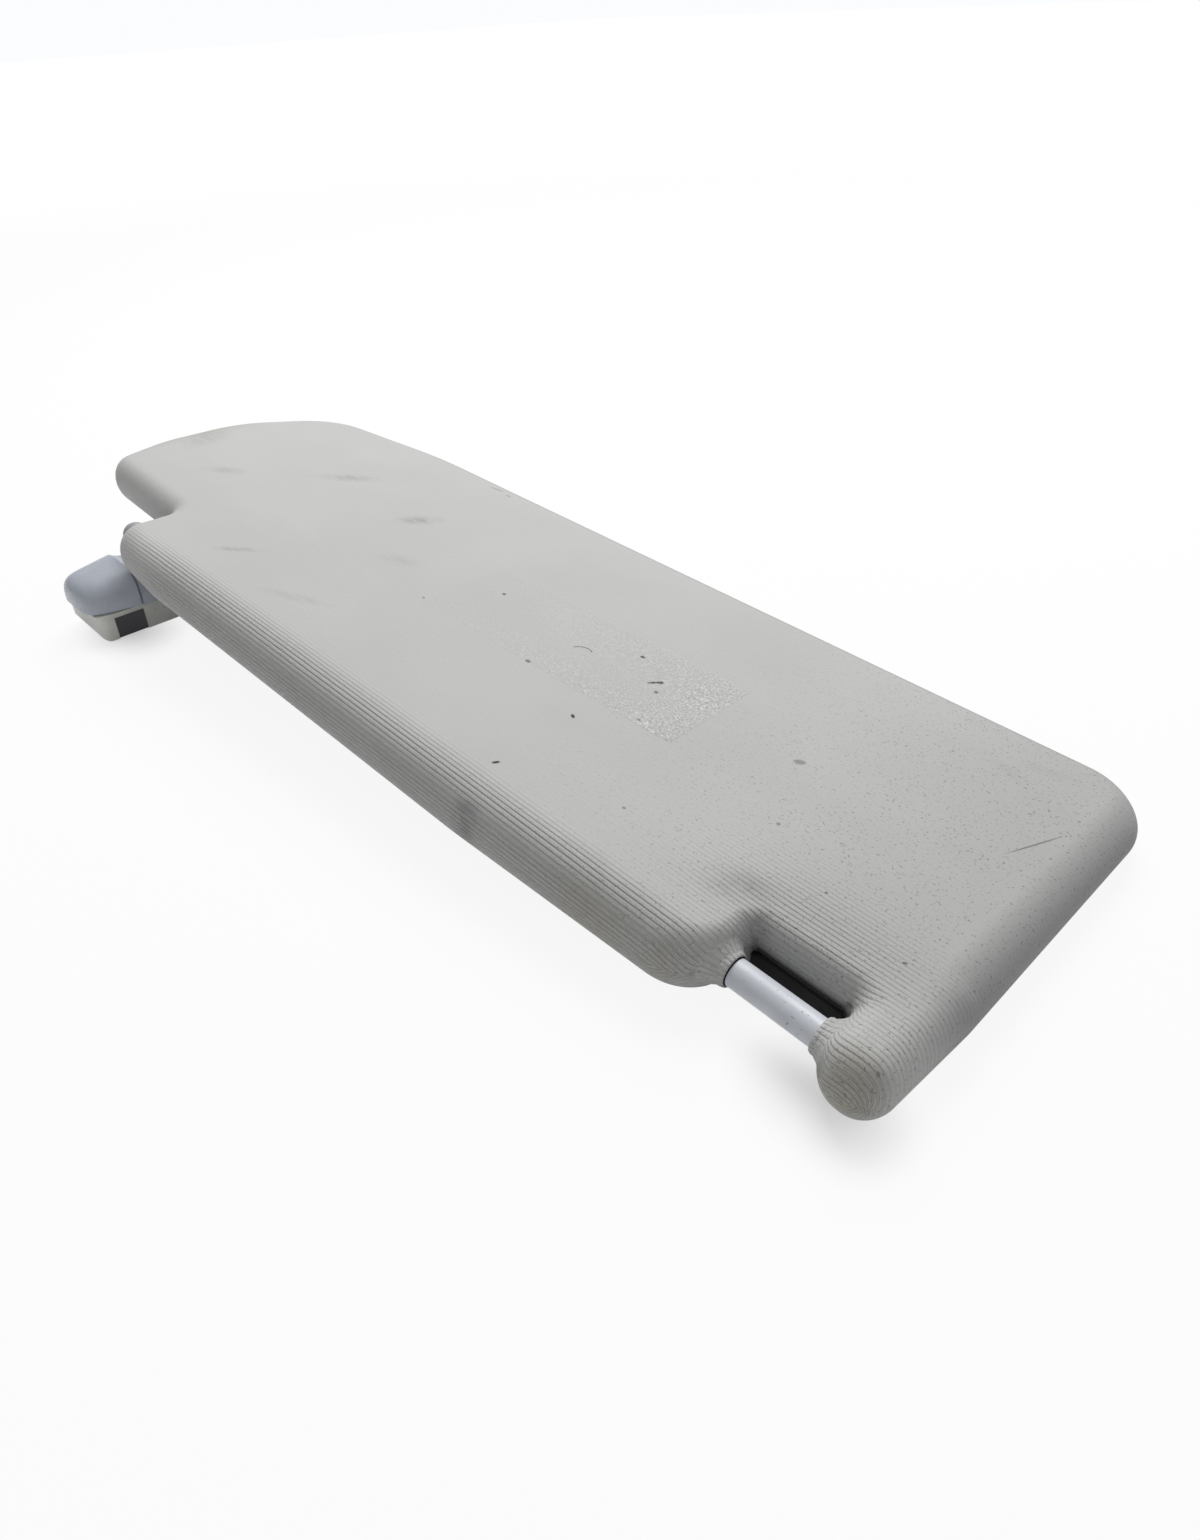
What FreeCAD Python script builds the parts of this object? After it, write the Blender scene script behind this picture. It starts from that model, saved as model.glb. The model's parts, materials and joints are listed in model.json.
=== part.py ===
"""Cloth covered car sun visor on its swivel mount, in millimetres.

X runs along the hinge rod from the swivel axis to the clip bar, Y from the
hinge edge to the far edge, Z away from the roof. The origin is where the
swivel axis meets the roof face of the mount.
"""
import FreeCAD, Part
import math
import os
import re
import Sketcher

V = FreeCAD.Vector

# Driving sizes

SIZES = {
    # visor outline, seen square on
    "visor_reach": 391.7,
    "visor_overhang": 74.5,
    "hinge_side": 17.0,
    "far_side": 145.6,
    "far_fall": 1.0,
    "hinge_thickness": 24.0,
    "far_thickness": 15.2,
    "lobe_side": 13.5,
    "lobe_taper": 38.0,
    "lobe_corner": 13.0,
    "lobe_roll": 8.0,
    "recess_side": 15.0,
    "recess_corner": 5.0,
    "wing_corner": 13.0,
    "wing_slope": 9.0,
    "wing_lift": 2.6,
    "wing_roll": 9.0,
    "shoulder_length": 107.0,
    "shoulder_drop": 10.2,
    "shoulder_reach": 27.0,
    "shoulder_radius": 45.0,
    "shoulder_ease": 270.0,
    "wing_high": 11.25,
    "wing_low": 31.5,
    "wing_radius": 58.5,
    "end_corner": 22.0,
    "end_roll": 9.0,
    "slot_inset": 55.2,
    "slot_length": 32.5,
    "slot_depth": 10.5,
    "slot_corner": 3.0,
    "slot_roll": 6.0,
    "slot_shoulder": 17.5,
    "slot_ease": 96.5,
    "slot_rise": 3.1,
    "hinge_ease": 80.0,
    "knob_side": 11.7,
    "knob_width": 20.5,
    "knob_roll": 9.0,
    "knob_slack": 0.3,
    "end_ease": 30.0,
    "cover_wall": 1.2,
    # mount on the roof
    "base_height": 12.0,
    "base_width": 32.0,
    "base_front": 32.0,
    "base_wall": 2.5,
    "base_round": 4.0,
    "flange_thickness": 2.5,
    "tower_height": 20.5,
    "lobe_gap": 2.5,
    "cap_width": 35.0,
    "cap_height": 27.5,
    "cap_wall": 2.0,
    "cap_seam": 12.0,
    "cap_length": 24.5,
    "nose_width": 22.5,
    "nose_height": 24.5,
    "nose_round": 5.5,
    "seam_gap": 0.5,
    "screw_hole": 5.2,
    "screw_spacing": 15.0,
    "screw_place": 22.0,
    "screw_boss": 8.4,
    "clip_width": 13.0,
    "clip_height": 10.0,
    "clip_thickness": 2.0,
    "clip_proud": 0.3,
    # swivel and hinge rod
    "rod_width": 7.0,
    "rod_length": 112.0,
    "rod_bend": 10.0,
    "rod_foot": 2.0,
    "running_gap": 0.05,
    "bush_wall": 1.8,
    "bush_foot": 7.0,
    "ring_thickness": 1.2,
    "ring_width": 11.0,
    "groove_depth": 0.6,
    "washer_thickness": 0.8,
    "sheath_wall": 1.0,
    "sheath_inset": 15.0,
    "sheath_fit": 0.25,
    "lobe_clearance": 1.1,
    "hole_clearance": 1.8,
    "grommet_wall": 2.0,
    "grommet_length": 4.0,
    "flat_depth": 0.7,
    # hinge block in the visor
    "block_start": 17.0,
    "block_inset": 11.0,
    "block_front": 7.0,
    "block_back": 14.0,
    "block_height": 16.0,
    "spring_start": 46.0,
    "spring_width": 24.0,
    "spring_front": 5.0,
    "spring_back": 9.0,
    "sheet": 0.8,
    "fit_gap": 0.3,
    "rivet_width": 3.0,
    "rivet_place": 10.8,
    "rivet_inset": 7.0,
    "rivet_head": 0.7,
    "rivet_head_width": 5.4,
    "end_clip_width": 10.0,
    "end_clip_inset": 5.0,
    # wire frame and clip bar
    "wire_width": 3.0,
    "wire_edge": 15.0,
    "wire_bend": 14.0,
    "wire_row": 28.0,
    "wire_ease": 56.0,
    "wire_shoulder": 21.0,
    "wire_drop": 56.0,
    "wire_start": 8.5,
    "wire_grip": 15.0,
    "bar_width": 8.5,
    "bar_grip": 12.0,
    "neck_wall": 1.3,
    "neck_length": 2.5,
    "carrier_gap": 3.8,
    "carrier_back": 11.0,
    "carrier_height": 11.0,
    "carrier_wall": 3.5,
}

doc = FreeCAD.newDocument("sun_visor")
sheet = doc.addObject("Spreadsheet::Sheet", "Sizes")
for row, (alias, number) in enumerate(SIZES.items(), 1):
    sheet.set("A%d" % row, alias)
    sheet.set("B%d" % row, str(number))
    sheet.setAlias("B%d" % row, alias)
doc.recompute()

WORD = re.compile(r"[a-z_]{3,}")


def bound(text):
    """The expression with each size name pointed at its cell."""
    return WORD.sub(lambda found: "Sizes." + found.group(0), text)


def value(text):
    """The number that an expression in size names gives."""
    return float(sheet.evalExpression(bound(text)))


# Places that several pieces share, as expressions in size names

AXIS = "(tower_height + lobe_gap + hinge_thickness / 2)"
ROD = "(rod_width / 2)"
BORE = "(rod_width / 2 + running_gap)"
SHEATH = "(rod_width / 2 + sheath_wall)"
LOBE_END = "(rod_width / 2 + sheath_wall + lobe_clearance)"
LOBE_HOLE = "(rod_width / 2 + sheath_wall + hole_clearance)"
BUSH = "(rod_width / 2 + running_gap + bush_wall)"
BAR = "(bar_width / 2)"
SLOT_START = "(visor_reach - slot_inset)"
SLOT_END = "(visor_reach - slot_inset + slot_length)"
BLOCK_END = "(rod_length - block_inset)"
BLOCK_LENGTH = "(rod_length - block_inset - block_start)"
BLOCK_HALF = "(block_height / 2)"
BAR_START = "(visor_reach - slot_inset - bar_grip)"
BAR_END = "(visor_reach - slot_inset + slot_length + bar_grip)"
RING_FLOOR = "(rod_foot + ring_thickness)"
SPRING_HALF = "(rod_width / 2 + running_gap + sheet)"
WIRE = "(wire_width / 2)"
GROMMET = "(rod_width / 2 + sheath_wall + grommet_wall)"
GROMMET_START = "(rod_width / 2 + sheath_wall + lobe_clearance + grommet_wall)"
BACK_ROW = "(slot_depth + cover_wall + wire_bend / 2)"

PARTS = []


def part(thing):
    """Keeps a finished sub-part for the check and the export."""
    PARTS.append(thing)
    return thing


# Helpers for bodies made of sketches and features


def plane(body, role):
    return [one for one in body.Origin.OriginFeatures if one.Role == role][0]


def outline(body, name, role, corners, offset="0"):
    """A closed outline of straight runs, each corner held by two bound distances."""
    sketch = body.newObject("Sketcher::SketchObject", name)
    sketch.AttachmentSupport = [(plane(body, role), "")]
    sketch.MapMode = "FlatFace"
    sketch.setExpression("AttachmentOffset.Base.z", bound(offset))
    spots = [V(value(across), value(up), 0) for across, up in corners]
    count = len(corners)
    for index in range(count):
        sketch.addGeometry(Part.LineSegment(spots[index], spots[(index + 1) % count]))
    for index in range(count):
        sketch.addConstraint(Sketcher.Constraint("Coincident", index, 2, (index + 1) % count, 1))
    for index in range(count):
        for axis, kind in enumerate(("DistanceX", "DistanceY")):
            size = spots[index][axis]
            place = sketch.addConstraint(Sketcher.Constraint(kind, -1, 1, index, 1, size))
            label = "%s%d" % (kind, index)
            sketch.renameConstraint(place, label)
            sketch.setExpression("Constraints." + label, bound(corners[index][axis]))
    return sketch


def turned(name, corners, role="XZ_Plane", axis="V_Axis"):
    """A turned piece: its half section swept round the sketch's own axis."""
    body = doc.addObject("PartDesign::Body", name)
    sketch = outline(body, name + "_section", role, corners)
    turn = body.newObject("PartDesign::Revolution", name + "_turn")
    turn.Profile = sketch
    turn.ReferenceAxis = (sketch, [axis])
    turn.Angle = 360
    return body


def padded(name, corners, length, role="XY_Plane", offset="0"):
    """A straight pad of an outline, from the offset plane along the plane's normal."""
    body = doc.addObject("PartDesign::Body", name)
    sketch = outline(body, name + "_outline", role, corners, offset)
    pad = body.newObject("PartDesign::Pad", name + "_pad")
    pad.Profile = sketch
    pad.setExpression("Length", bound(length))
    return body


def lifted(thing, across="0", along="0", up="0"):
    """Places a piece by bound distances from the origin."""
    for axis, text in (("x", across), ("y", along), ("z", up)):
        thing.setExpression("Placement.Base." + axis, bound(text))
    return thing


# Helpers for primitives and booleans

ALONG_X = FreeCAD.Rotation(V(0, 1, 0), 90)
UPRIGHT = FreeCAD.Rotation()


def rod_piece(name, radius, length, place, turn=UPRIGHT):
    piece = doc.addObject("Part::Cylinder", name)
    piece.setExpression("Radius", bound(radius))
    piece.setExpression("Height", bound(length))
    piece.Placement = FreeCAD.Placement(V(0, 0, 0), turn)
    return lifted(piece, *place)


def block_piece(name, corner, size):
    piece = doc.addObject("Part::Box", name)
    for key, text in zip(("Length", "Width", "Height"), size):
        piece.setExpression(key, bound(text))
    return lifted(piece, *corner)


def joined(name, *pieces):
    fuse = doc.addObject("Part::MultiFuse", name)
    fuse.Shapes = list(pieces)
    return fuse


def cut(name, base, *tools):
    """The base less its tools."""
    step = doc.addObject("Part::Cut", name)
    step.Base = base
    step.Tool = tools[0] if len(tools) == 1 else joined(name + "_tools", *tools)
    return step


def shaped(name, shape):
    """A piece whose form no single feature gives; its sizes come from the sheet."""
    piece = doc.addObject("Part::Feature", name)
    piece.Shape = shape
    piece.Placement = FreeCAD.Placement()
    return piece


def stacked(rings):
    """A closed solid through flat rings of as many points each, with two flat
    triangles between each pair of neighbouring points and their next ring."""
    faces = [Part.Face(Part.makePolygon(ring + ring[:1])) for ring in (rings[0], rings[-1])]
    for low, high in zip(rings, rings[1:]):
        for index in range(len(low)):
            for corners in (
                (low[index - 1], low[index], high[index]),
                (low[index - 1], high[index], high[index - 1]),
            ):
                faces.append(Part.Face(Part.makePolygon(list(corners) + [corners[0]])))
    shell = Part.makeShell(faces)
    shell.sewShape()
    solid = Part.makeSolid(shell)
    if solid.Volume < 0:
        solid.reverse()
    return solid


# Visor form: one outline of straight sides and rounded corners, stacked in
# levels from the mid plane to each face. At every level a side moves in by its
# own roll times one less the cosine of the level's angle, and the height is
# the local half thickness times the sine.

OUTER_LEVELS = 3
INNER_LEVELS = 2
CORNER_STEP = 18.0
LEAST_RADIUS = 0.3
NEAR = 0.01


def visor_corners():
    """Corner place, corner radius and the roll of the side that leaves it."""
    half = value("hinge_thickness / 2")
    far = value("far_side")
    end = value("visor_reach")
    left = -value("visor_overhang")
    hinge = -value("hinge_side")
    tip = value(LOBE_END)
    slot = value(SLOT_START)
    slot_end = value(SLOT_END)
    slot_roll = value("slot_roll")
    slot_corner = value("slot_corner")
    depth = value("slot_depth")
    knob = -value("knob_side")
    knob_end = value(SLOT_END + " + knob_width")
    knob_radius = value("knob_width / 2 - knob_slack")
    knob_roll = value("knob_roll")
    end_roll = value("end_roll")
    far_roll = value("far_thickness / 2")
    wing_roll = value("wing_roll")
    wing_radius = value("wing_radius")
    shoulder = left + value("shoulder_length")
    middle = value("(far_side + recess_side) / 2")
    return [
        (tip, -value("lobe_side"), value("lobe_corner"), half),
        (tip + value("lobe_taper"), hinge, value("hinge_ease"), half),
        (slot - value("slot_ease"), hinge, value("hinge_ease"), half),
        (slot, hinge + value("slot_rise"), value("slot_shoulder"), slot_roll),
        (slot, depth, slot_corner, slot_roll),
        (slot_end, depth, slot_corner, knob_roll),
        (slot_end, knob, knob_radius, end_roll),
        (knob_end, knob, knob_radius, end_roll),
        (end, value("end_ease"), value("hinge_ease"), end_roll),
        (end, far - value("far_fall"), value("end_corner"), far_roll),
        (shoulder, far, value("shoulder_ease"), far_roll),
        (left + value("shoulder_reach"), far - value("shoulder_drop"), value("shoulder_radius"), wing_roll),
        (left, middle + value("wing_high"), wing_radius, wing_roll),
        (left, middle - value("wing_low"), wing_radius, wing_roll),
        (left + value("wing_slope"), value("recess_side + wing_lift"), value("wing_corner"), wing_roll),
        (tip, value("recess_side"), value("recess_corner"), value("lobe_roll")),
    ]


def level_sides(corners, inset, angle):
    """Each side's start, direction and distance moved in at one level."""
    sides = []
    for index, (across, along, radius, roll) in enumerate(corners):
        nxt = corners[(index + 1) % len(corners)]
        run = V(nxt[0] - across, nxt[1] - along, 0)
        run.normalize()
        moved = inset + (roll - inset) * (1 - math.cos(angle))
        sides.append((V(across, along, 0) + V(-run.y, run.x, 0) * moved, run, moved))
    return sides


def corner_points(before, after, radius):
    """Points round one corner, from its first tangent point to its last."""
    start, run, moved = before
    start_after, run_after, moved_after = after
    cross = run.x * run_after.y - run.y * run_after.x
    gap = start_after - start
    meet = start + run * ((gap.x * run_after.y - gap.y * run_after.x) / cross)
    turn = math.atan2(cross, run.dot(run_after))
    mean = (moved + moved_after) / 2
    radius = max(radius - math.copysign(mean, turn), LEAST_RADIUS)
    first = meet - run * radius * math.tan(abs(turn) / 2)
    arm = V(run.y, -run.x, 0) * math.copysign(radius, turn)
    steps = max(1, math.ceil(abs(math.degrees(turn)) / CORNER_STEP))
    points = []
    for step in range(steps + 1):
        swing = turn * step / steps
        sine = math.sin(swing)
        cosine = math.cos(swing)
        reach = V(arm.x * cosine - arm.y * sine, arm.x * sine + arm.y * cosine, 0)
        points.append(first - arm + reach)
    return points


def half_thickness(along, inset):
    """Half the visor's thickness at a distance from the hinge axis."""
    near = value("hinge_thickness / 2")
    fall = (near - value("far_thickness / 2")) / value("hinge_side + far_side")
    return near - fall * (along + value("hinge_side")) - inset


def level_ring(corners, inset, angle, side):
    """The outline's points at one level above or below the mid plane."""
    sides = level_sides(corners, inset, angle)
    middle = value(AXIS)
    ring = []
    for index, corner in enumerate(corners):
        ring += corner_points(sides[index - 1], sides[index], corner[2])
    lift = side * math.sin(angle)
    near = half_thickness(0, inset)
    fall = near - half_thickness(1, inset)
    return [V(p.x, p.y, middle + lift * (near - fall * p.y)) for p in ring]


def visor_form(inset, levels):
    """The closed visor body, its skin moved in by the inset."""
    corners = visor_corners()
    angles = [math.pi / 2 * level / levels for level in range(levels + 1)]
    rings = [level_ring(corners, inset, angle, -1) for angle in angles[:0:-1]]
    rings += [level_ring(corners, inset, angle, 1) for angle in angles]
    return stacked(rings)


# Clip bar and the fork that carries it


def clip_bar():
    """The round bar that the roof clip grips, its two ends held in the fork."""
    corners = [(BAR_START, "0"), (BAR_END, "0"), (BAR_END, BAR), (BAR_START, BAR)]
    return part(lifted(turned("clip_bar", corners, axis="H_Axis"), up=AXIS))


def bar_carrier(bar, wire):
    """A moulded fork behind the slot whose two arms hold the bar's ends."""
    front = "-(" + BAR + " + carrier_wall / 4)"
    inner_left = "(" + SLOT_START + " - cover_wall - carrier_gap)"
    inner_right = "(" + SLOT_END + " + cover_wall + carrier_gap + carrier_wall / 4)"
    left = BAR_START + " - carrier_wall"
    right = BAR_END + " - carrier_wall / 2"
    back = BACK_ROW + " + carrier_back / 2"
    row = "(slot_depth + cover_wall + carrier_gap)"
    fork = padded(
        "carrier_fork",
        [
            (left, front),
            (inner_left, front),
            (inner_left, row),
            (inner_right, row),
            (inner_right, front),
            (right, front),
            (right, back),
            (left, back),
        ],
        "carrier_height",
        offset=AXIS + " - carrier_height / 2",
    )
    return part(cut("bar_carrier", fork, bar, wire))


# Steel wire frame that stiffens the foam and ties the hinge to the bar


def polygon_ring(centre, axis, side, radius, count):
    """A regular polygon round a point of the path, its corners on the circle."""
    across = side.cross(axis)
    corners = []
    for index in range(count):
        swing = 2 * math.pi * (index + 0.5) / count
        corners.append(centre + side * (radius * math.cos(swing)) + across * (radius * math.sin(swing)))
    return corners


def faceted_tube(points, bend, radius, count, steps):
    """A many sided bar along a flat path, each bend taken in equal steps."""
    side = (points[1] - points[0]).cross(points[2] - points[1]).normalize()
    heading = (points[1] - points[0]).normalize()
    rings = [polygon_ring(points[0], heading, side, radius, count)]
    for index in range(1, len(points) - 1):
        corner = points[index]
        after = (points[index + 1] - corner).normalize()
        turn = math.atan2(heading.cross(after).dot(side), heading.dot(after))
        reach = abs(turn)
        start = corner - heading * bend * math.tan(reach / 2)
        inward = side.cross(heading) * math.copysign(1, turn)
        centre = start + inward * bend
        for step in range(steps + 1):
            swing = reach * step / steps
            away = heading * math.sin(swing) - inward * math.cos(swing)
            along = heading * math.cos(swing) + inward * math.sin(swing)
            rings.append(polygon_ring(centre + away * bend, along, side, radius, count))
        heading = after
    rings.append(polygon_ring(points[-1], heading, side, radius, count))
    return stacked(rings)


WIRE_SIDES = 6
WIRE_STEPS = 2


def wire_frame():
    """The bent wire, lying in the mid plane from the hinge block round to its back."""
    height = value(AXIS)
    right = value("visor_reach - wire_edge")
    far = value("far_side - wire_edge")
    left = value("wire_edge - visor_overhang")
    behind = value(BACK_ROW)
    start = value("wire_start")
    ease = value(SLOT_START + " - wire_ease")
    grip = value("block_start + wire_grip")
    route = [
        (value(BLOCK_END + " - wire_grip"), start),
        (ease, start),
        (ease + 2 * (behind - start), behind),
        (right, behind),
        (right, far),
        (value("shoulder_length - visor_overhang"), far),
        (left + value("wire_bend"), far - value("wire_shoulder")),
        (left, far - value("wire_drop")),
        (left, value("wire_row + wire_bend / 2")),
        (left + value("wire_bend"), value("wire_row")),
        (grip, value("wire_row")),
        (grip, value("block_back - wire_grip / 3")),
    ]
    points = [V(across, along, height) for across, along in route]
    form = faceted_tube(points, value("wire_bend / 2"), value(WIRE), WIRE_SIDES, WIRE_STEPS)
    return part(shaped("wire_frame", form))


# Hinge block: two moulded halves round the rod, a sheet steel detent spring
# between them and two rivets through both


def detent_spring():
    """A folded U of sheet whose two leaves lie either side of the rod."""
    inner = BORE
    outer = SPRING_HALF
    body = padded(
        "detent_spring",
        [
            ("-spring_front", "-" + outer),
            ("spring_back", "-" + outer),
            ("spring_back", outer),
            ("-spring_front", outer),
            ("-spring_front", inner),
            ("spring_back - sheet", inner),
            ("spring_back - sheet", "-" + inner),
            ("-spring_front", "-" + inner),
        ],
        "spring_width",
        role="YZ_Plane",
        offset="spring_start",
    )
    return part(lifted(body, up=AXIS))


def block_rivets():
    """Two headed pins that clamp the halves, one at each end of the block."""
    places = ["block_start + rivet_inset", BLOCK_END + " - wire_grip - rivet_inset"]
    pieces = []
    for number, place in enumerate(places, 1):
        bottom = AXIS + " - " + BLOCK_HALF + " - rivet_head"
        shank = rod_piece(
            "rivet_shank_%d" % number,
            "rivet_width / 2",
            "block_height + 2 * rivet_head",
            (place, "rivet_place", bottom),
        )
        heads = []
        for level, up in enumerate((bottom, AXIS + " + " + BLOCK_HALF), 1):
            name = "rivet_head_%d_%d" % (number, level)
            heads.append(rod_piece(name, "rivet_head_width / 2", "rivet_head", (place, "rivet_place", up)))
        pieces.append(joined("rivet_%d" % number, shank, *heads))
    group = doc.addObject("Part::Compound", "block_rivets")
    group.Links = pieces
    return part(group)


def hinge_block(name, lower, wire, rivets):
    """One half of the block, with half the rod bore and half the spring's seat."""
    base = AXIS + (" - " + BLOCK_HALF if lower else "")
    corner = ("block_start", "-block_front", base)
    half = block_piece(name + "_half", corner, (BLOCK_LENGTH, "block_front + block_back", BLOCK_HALF))
    bore = rod_piece(name + "_bore", BORE, BLOCK_LENGTH, ("block_start", "0", AXIS), ALONG_X)
    seat = block_piece(
        name + "_seat",
        ("spring_start - fit_gap", "-spring_front - fit_gap", AXIS + " - " + SPRING_HALF),
        ("spring_width + 2 * fit_gap", "spring_front + spring_back + fit_gap", "2 * " + SPRING_HALF),
    )
    return part(cut(name, half, bore, seat, wire, rivets))


# Pivot arm: one bent steel rod, upright in the mount and level in the visor


ELBOW_SIDES = 16
ELBOW_STEPS = 5


def elbow(foot, reach, radius):
    """A many sided bar up the swivel axis, round the bend and along the hinge axis."""
    height = value(AXIS)
    points = [V(0, 0, foot), V(0, 0, height), V(reach, 0, height)]
    return faceted_tube(points, value("rod_bend"), radius, ELBOW_SIDES, ELBOW_STEPS)


def pivot_arm():
    """The rod: round runs, a bend in flat facets, a flat for the spring and a
    groove for each retainer."""
    bend_foot = value(AXIS + " - rod_bend")
    bend = shaped("arm_bend", elbow(bend_foot - NEAR, value("rod_bend") + NEAR, value(ROD)))
    upright = rod_piece("arm_upright", ROD, AXIS + " - rod_bend - rod_foot", ("0", "0", "rod_foot"))
    level = rod_piece("arm_level", ROD, "rod_length - rod_bend", ("rod_bend", "0", AXIS), ALONG_X)
    rod = joined("arm_rod", upright, bend, level)
    flat = block_piece(
        "arm_flat",
        ("spring_start", "-" + ROD, AXIS + " + " + ROD + " - flat_depth"),
        ("spring_width", "rod_width", "flat_depth + ring_thickness"),
    )
    grooves = []
    for number, (start, turn) in enumerate((("foot", UPRIGHT), ("end", ALONG_X)), 1):
        if start == "foot":
            place = ("0", "0", RING_FLOOR)
        else:
            place = ("rod_length - end_clip_inset", "0", AXIS)
        whole = rod_piece("groove_%d_outer" % number, "rod_width", "ring_thickness", place, turn)
        core = rod_piece("groove_%d_core" % number, ROD + " - groove_depth", "ring_thickness", place, turn)
        grooves.append(cut("groove_%d" % number, whole, core))
    return part(cut("pivot_arm", rod, flat, *grooves))


def retainer(name, place, turn, width):
    """A flat ring that sits in a groove of the rod."""
    disc = rod_piece(name + "_disc", width + " / 2", "ring_thickness", place, turn)
    hole = rod_piece(name + "_hole", ROD + " - groove_depth", "ring_thickness", place, turn)
    return part(cut(name, disc, hole))


def elbow_sheath():
    """The moulded sleeve over the rod's elbow, from the tower into the lobe."""
    outer = elbow(value("tower_height + washer_thickness"), value("sheath_inset"), value(SHEATH))
    inner = elbow(value("rod_foot"), value("rod_length"), value(ROD + " + sheath_fit"))
    return part(shaped("elbow_sheath", outer.cut(inner)))


def ring(name, inner, outer, bottom, top):
    """A turned ring round the swivel axis."""
    return part(turned(name, [(inner, bottom), (outer, bottom), (outer, top), (inner, top)]))


def lobe_grommet():
    """The collar that trims the cloth where the arm enters the lobe."""
    inner = SHEATH + " + lobe_clearance - running_gap"
    end = GROMMET_START + " + grommet_length"
    corners = [(GROMMET_START, inner), (end, inner), (end, GROMMET), (GROMMET_START, GROMMET)]
    return part(lifted(turned("lobe_grommet", corners, axis="H_Axis"), up=AXIS))


# Mount: base, bearing tower, cap, clip


def rounded_bar(name, half_width, front, bottom, height):
    """A block with a round rear end about the swivel axis."""
    corner = ("-" + half_width, "-" + front, bottom)
    box = block_piece(name + "_front", corner, ("2 * " + half_width, front, height))
    return joined(name, box, rod_piece(name + "_rear", half_width, height, ("0", "0", bottom)))


def screw_tools(name, radius, bottom, height):
    """Two upright cylinders on the screws' places."""
    tools = []
    for number, side in enumerate(("-screw_spacing / 2", "screw_spacing / 2"), 1):
        place = (side, "-screw_place", bottom)
        tools.append(rod_piece("%s_%d" % (name, number), radius, height, place))
    return tools


def mount_base():
    """The shell that meets the roof, open below, with two screw bosses."""
    block = rounded_bar("base_block", "(base_width / 2)", "base_front", "0", "base_height")
    soft = doc.addObject("Part::Fillet", "base_soft")
    soft.Base = block
    doc.recompute()
    front = -value("base_front")
    picked = []
    for number, edge in enumerate(block.Shape.Edges, 1):
        middle = edge.CenterOfMass
        upright = edge.BoundBox.ZLength > value("base_height") - NEAR
        if abs(middle.y - front) < NEAR and (upright or middle.z < NEAR):
            picked.append((number, value("base_round"), value("base_round")))
    soft.Edges = picked
    inner = "(base_width / 2 - base_wall)"
    room = rounded_bar("base_room", inner, "(base_front - base_wall)", "0", "base_height - base_wall")
    bosses = screw_tools("base_boss", "screw_boss / 2", "0", "base_height - base_wall")
    hollow = cut("base_hollow", room, *bosses)
    holes = screw_tools("base_hole", "screw_hole / 2", "0", "base_height")
    bore = rod_piece("base_bore", BUSH + " + running_gap", "base_height", ("0", "0", "0"))
    ends = []
    for number, side in enumerate(("-", ""), 1):
        outer = "(base_width / 2 + clip_proud)"
        start = "-" + outer if side else outer + " - clip_thickness"
        corner = (start, "-(cap_seam + clip_width)", "0")
        size = ("clip_thickness", "clip_width", "clip_height")
        ends.append(block_piece("base_side_%d" % number, corner, size))
    bridge_corner = ("-base_width / 2", "-(cap_seam + clip_width / 3)", "clip_height - clip_thickness")
    bridge = block_piece("base_bridge", bridge_corner, ("base_width", "clip_width / 3", "clip_thickness"))
    return part(cut("mount_base", soft, hollow, bore, bridge, *(holes + ends)))


def roof_clip():
    """The black spring clip: two side tabs joined by a bridge under the base's top."""
    outer = "(base_width / 2 + clip_proud)"
    pieces = []
    for number, start in enumerate(("-" + outer, outer + " - clip_thickness"), 1):
        corner = (start, "-(cap_seam + clip_width)", "clip_thickness / 4")
        size = ("clip_thickness", "clip_width", "clip_height - clip_thickness / 4")
        pieces.append(block_piece("clip_tab_%d" % number, corner, size))
    corner = ("-base_width / 2", "-(cap_seam + clip_width / 3)", "clip_height - clip_thickness")
    pieces.append(block_piece("clip_bridge", corner, ("base_width", "clip_width / 3", "clip_thickness")))
    return part(joined("roof_clip", *pieces))


ARCH_STEPS = 14


def arch_ring(along, half_width, bottom, spring, top):
    """An arch section: upright sides below, half an ellipse above in short chords."""
    points = [V(-half_width, along, bottom), V(half_width, along, bottom)]
    for step in range(ARCH_STEPS + 1):
        swing = math.pi * step / ARCH_STEPS
        up = spring + (top - spring) * math.sin(swing)
        points.append(V(half_width * math.cos(swing), along, up))
    return points


NOSE_LEVELS = 4


def cap_form(inset):
    """The cap's tapering arch and rounded nose, its walls moved in by the inset."""
    bottom = value("base_height + seam_gap")
    spring = value("base_height + cap_wall * 2")
    seam = -value("cap_seam + seam_gap")
    nose = seam - value("cap_length") + inset
    rounding = max(value("nose_round") - inset, LEAST_RADIUS)
    sections = [arch_ring(seam, value("cap_width / 2") - inset, bottom, spring, value("cap_height") - inset)]
    for level in range(NOSE_LEVELS):
        angle = math.pi / 2 * level / (NOSE_LEVELS - 1)
        drawn = inset + rounding * (1 - math.cos(angle))
        along = nose + rounding * (1 - math.sin(angle))
        half = value("nose_width / 2") - drawn
        sections.append(arch_ring(along, half, bottom, spring, value("nose_height") - drawn))
    return stacked(sections)


def screw_cover_cap():
    """The shell that hides the screws."""
    return part(shaped("screw_cover_cap", cap_form(0).cut(cap_form(value("cap_wall")))))


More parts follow.
